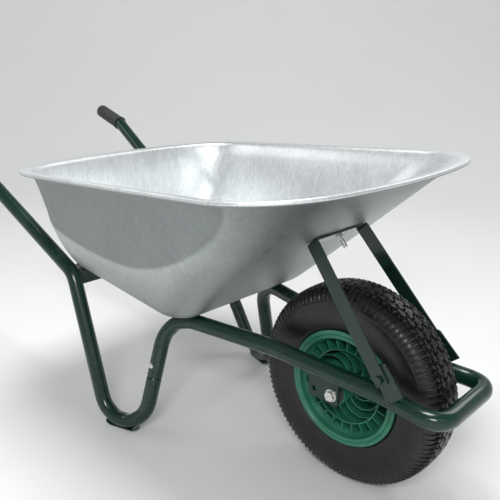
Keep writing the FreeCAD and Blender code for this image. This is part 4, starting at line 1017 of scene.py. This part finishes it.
def weld_bead(name, places, radius, seed):
    """A rippled weld bead along a line of places."""
    ends = np.array([tuple(place) for place in places])
    lengths = np.concatenate([[0], np.cumsum(np.linalg.norm(np.diff(ends, axis=0), axis=1))])
    length = lengths[-1]
    ripples = max(3, int(length / WELD_RIPPLE))
    count = ripples * RIPPLE_STEPS
    wanted = np.linspace(0, length, count + 1)
    line = [np.interp(wanted, lengths, ends[:, axis]) for axis in range(3)]
    samples = [(Vector(place), index, 0, Vector((0, 0, 1)))
               for index, place in enumerate(zip(*line))]

    def shape(sample, out):
        share = sample[1] / count
        fade = math.sqrt(max(0.0, 1 - (2 * share - 1) ** 8)) + 0.05
        ripple = 1 + 0.18 * math.sin(share * ripples * 2 * math.pi)
        wander = 1 + 0.12 * math.sin(share * 9 + seed)
        return radius * fade * ripple * wander

    rings = swept_rings(samples, shape, WELD_COLUMNS)
    faces = grid_faces(len(samples), WELD_COLUMNS) + cap_faces(len(samples), WELD_COLUMNS)
    return new_piece(name, rings, faces, [ENAMEL], "frame", sharp=60)


def on_tube(point, route):
    """The nearest point of a tube's centre line, and the way out from it to a point."""
    best = None
    for start, end in zip(route, route[1:]):
        way = end - start
        share = min(max((point - start).dot(way) / way.length_squared, 0), 1)
        centre = start + way * share
        out = point - centre
        if best is None or out.length < best[1].length:
            best = (centre, out)
    return best


def contact_weld(name, node, route, outward, bead, seed):
    """A weld bead where a CAD node stands on a bent tube, on the side facing outward."""
    corners = []
    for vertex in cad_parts[node].data.vertices:
        out = on_tube(vertex.co, route)[1]
        corners.append((abs(out.length - TUBE_RADIUS), out.dot(outward), vertex.co.copy()))
    nearest = min(corner[0] for corner in corners)
    corners = [corner for corner in corners if corner[0] < nearest + WELD_REACH]
    outermost = max(corner[1] for corner in corners)
    touching = [corner[2] for corner in corners if corner[1] > outermost - WELD_REACH]
    start, end = max(((first, second) for first in touching for second in touching),
                     key=lambda pair: (pair[0] - pair[1]).length)
    places = []
    for index in range(WELD_STEPS + 1):
        centre, out = on_tube(start.lerp(end, index / WELD_STEPS), route)
        places.append(centre + out.normalized() * (TUBE_RADIUS + WELD_LIFT))
    weld_bead(name, places, bead, seed)


def build_welds():
    """Weld beads at the axle brackets and at the tabs of the tray strut."""
    for side, word in ((LEFT, "left"), (RIGHT, "right")):
        route = [sample[0] for sample in front_route(side)]
        outward = Vector((0, side, 0))
        contact_weld(f"{word}_bracket_weld", f"{word}_axle_bracket", route, outward,
                     BRACKET_BEAD, side)
        contact_weld(f"{word}_tab_weld", f"{word}_strut_tab", route, outward, TAB_BEAD, side + 3)


def dress_cad_nodes():
    """Gives every CAD node that stays in view its own material."""
    looks = {
        ENAMEL: ["left_foot_plate", "right_foot_plate", "rear_crossbar", "front_cross_strap",
                 "left_axle_bracket", "right_axle_bracket", "strut_tab_bolts",
                 "strut_tab_nuts"],
        BAR_ENAMEL: ["tray_strut", "left_strut_tab", "right_strut_tab"],
        ZINC: ["leg_joint_screws", "tray_rear_bolts", "tray_rear_nuts", "tray_front_bolts",
               "tray_front_nuts", "strut_top_bolt", "strut_top_nut", "axle_bolt", "axle_nut",
               "axle_outer_washers", "axle_inner_washers"],
        TUBE_RUBBER: ["inner_tube", "valve_stem"],
        CAP_PLASTIC: ["valve_cap"],
        NYLON: ["left_wheel_bush", "right_wheel_bush"],
        RIM_PLASTIC: ["wheel_rim"],
    }
    for material, names in looks.items():
        for name in names:
            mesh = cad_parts[name].data
            mesh.materials.clear()
            mesh.materials.append(material)


# ---------------------------------------------------------------- studio

def area_light(name, place, target, width, height, power):
    """A rectangular soft light aimed at a point."""
    light = bpy.data.lights.new(name, "AREA")
    light.shape = "RECTANGLE"
    light.size = width
    light.size_y = height
    light.energy = power
    lamp = bpy.data.objects.new(name, light)
    lamp.location = place
    lamp.rotation_euler = (Vector(target) - Vector(place)).to_track_quat("-Z", "Y").to_euler()
    bpy.context.scene.collection.objects.link(lamp)


def build_studio():
    """A pale paper bowl, flat in the middle and curved up all round, with soft lights."""
    flat = 2.2
    curve = 2.0
    top = 4.2
    profile = [(0.5 * flat, 0), (flat, 0)]
    profile += [(flat + curve * math.sin(math.radians(degrees)),
                 curve - curve * math.cos(math.radians(degrees))) for degrees in range(6, 91, 6)]
    profile.append((flat + curve, top))
    around = 96
    vertices = [(radius * math.cos(2 * math.pi * step / around),
                 radius * math.sin(2 * math.pi * step / around), height)
                for radius, height in profile for step in range(around)]
    faces = [face[::-1] for face in grid_faces(len(profile), around)] + [tuple(range(around))]
    mesh = bpy.data.meshes.new("studio_bowl")
    mesh.from_pydata(vertices, [], faces)
    mesh.shade_smooth()
    mesh.materials.append(floor_material())
    bowl = bpy.data.objects.new("studio_bowl", mesh)
    bpy.context.scene.collection.objects.link(bowl)
    world = bpy.data.worlds.new("studio_air")
    world.use_nodes = True
    world.node_tree.nodes["Background"].inputs["Color"].default_value = (0.96, 0.98, 1.0, 1)
    world.node_tree.nodes["Background"].inputs["Strength"].default_value = 0.22
    bpy.context.scene.world = world
    bpy.context.scene.view_settings.view_transform = "Standard"
    middle = (0.1, 0, 0.3)
    area_light("overhead_box", (0.2, 0.0, 2.8), middle, 1.1, 0.9, 50)
    area_light("front_floor_box", (1.7, -1.9, 2.0), (1.2, -1.1, 0), 1.0, 0.5, 34)
    area_light("front_right_box", (2.4, -0.6, 1.9), middle, 0.4, 1.2, 2)
    area_light("left_box", (0.6, 2.3, 2.2), middle, 1.3, 0.7, 10)
    area_light("rear_strip", (-1.5, -0.9, 1.7), (0.1, -0.1, 0.25), 1.6, 0.2, 5)
    area_light("backdrop_box", (-0.8, 1.0, 2.6), (-2.9, 3.1, 2.3), 1.0, 0.6, 16)


def build_camera():
    """The photograph's camera: its place, the way it looks, a slight roll and its lens."""
    azimuth = math.radians(CAMERA_AZIMUTH)
    elevation = math.radians(CAMERA_ELEVATION)
    roll = math.radians(CAMERA_ROLL)
    ahead = Vector((-math.sin(azimuth) * math.cos(elevation),
                    math.cos(azimuth) * math.cos(elevation), -math.sin(elevation)))
    right = Vector((math.cos(azimuth), math.sin(azimuth), 0))
    up = right.cross(ahead)
    rolled_right = right * math.cos(roll) + up * math.sin(roll)
    rolled_up = up * math.cos(roll) - right * math.sin(roll)
    lens = bpy.data.cameras.new("photo_camera")
    lens.sensor_width = CAMERA_SENSOR
    lens.lens = CAMERA_LENS
    camera = bpy.data.objects.new("photo_camera", lens)
    turn = Matrix((rolled_right, rolled_up, -ahead)).transposed()
    camera.matrix_world = Matrix.Translation(CAMERA_PLACE) @ turn.to_4x4()
    bpy.context.scene.collection.objects.link(camera)
    bpy.context.scene.camera = camera


build_front_tube()
build_tray()
build_tyre()
for tube_side, tube_word in ((LEFT, "left"), (RIGHT, "right")):
    build_handle_tube(tube_side, tube_word)
    build_grip(tube_side, tube_word)
build_welds()
dress_cad_nodes()
build_studio()
build_camera()
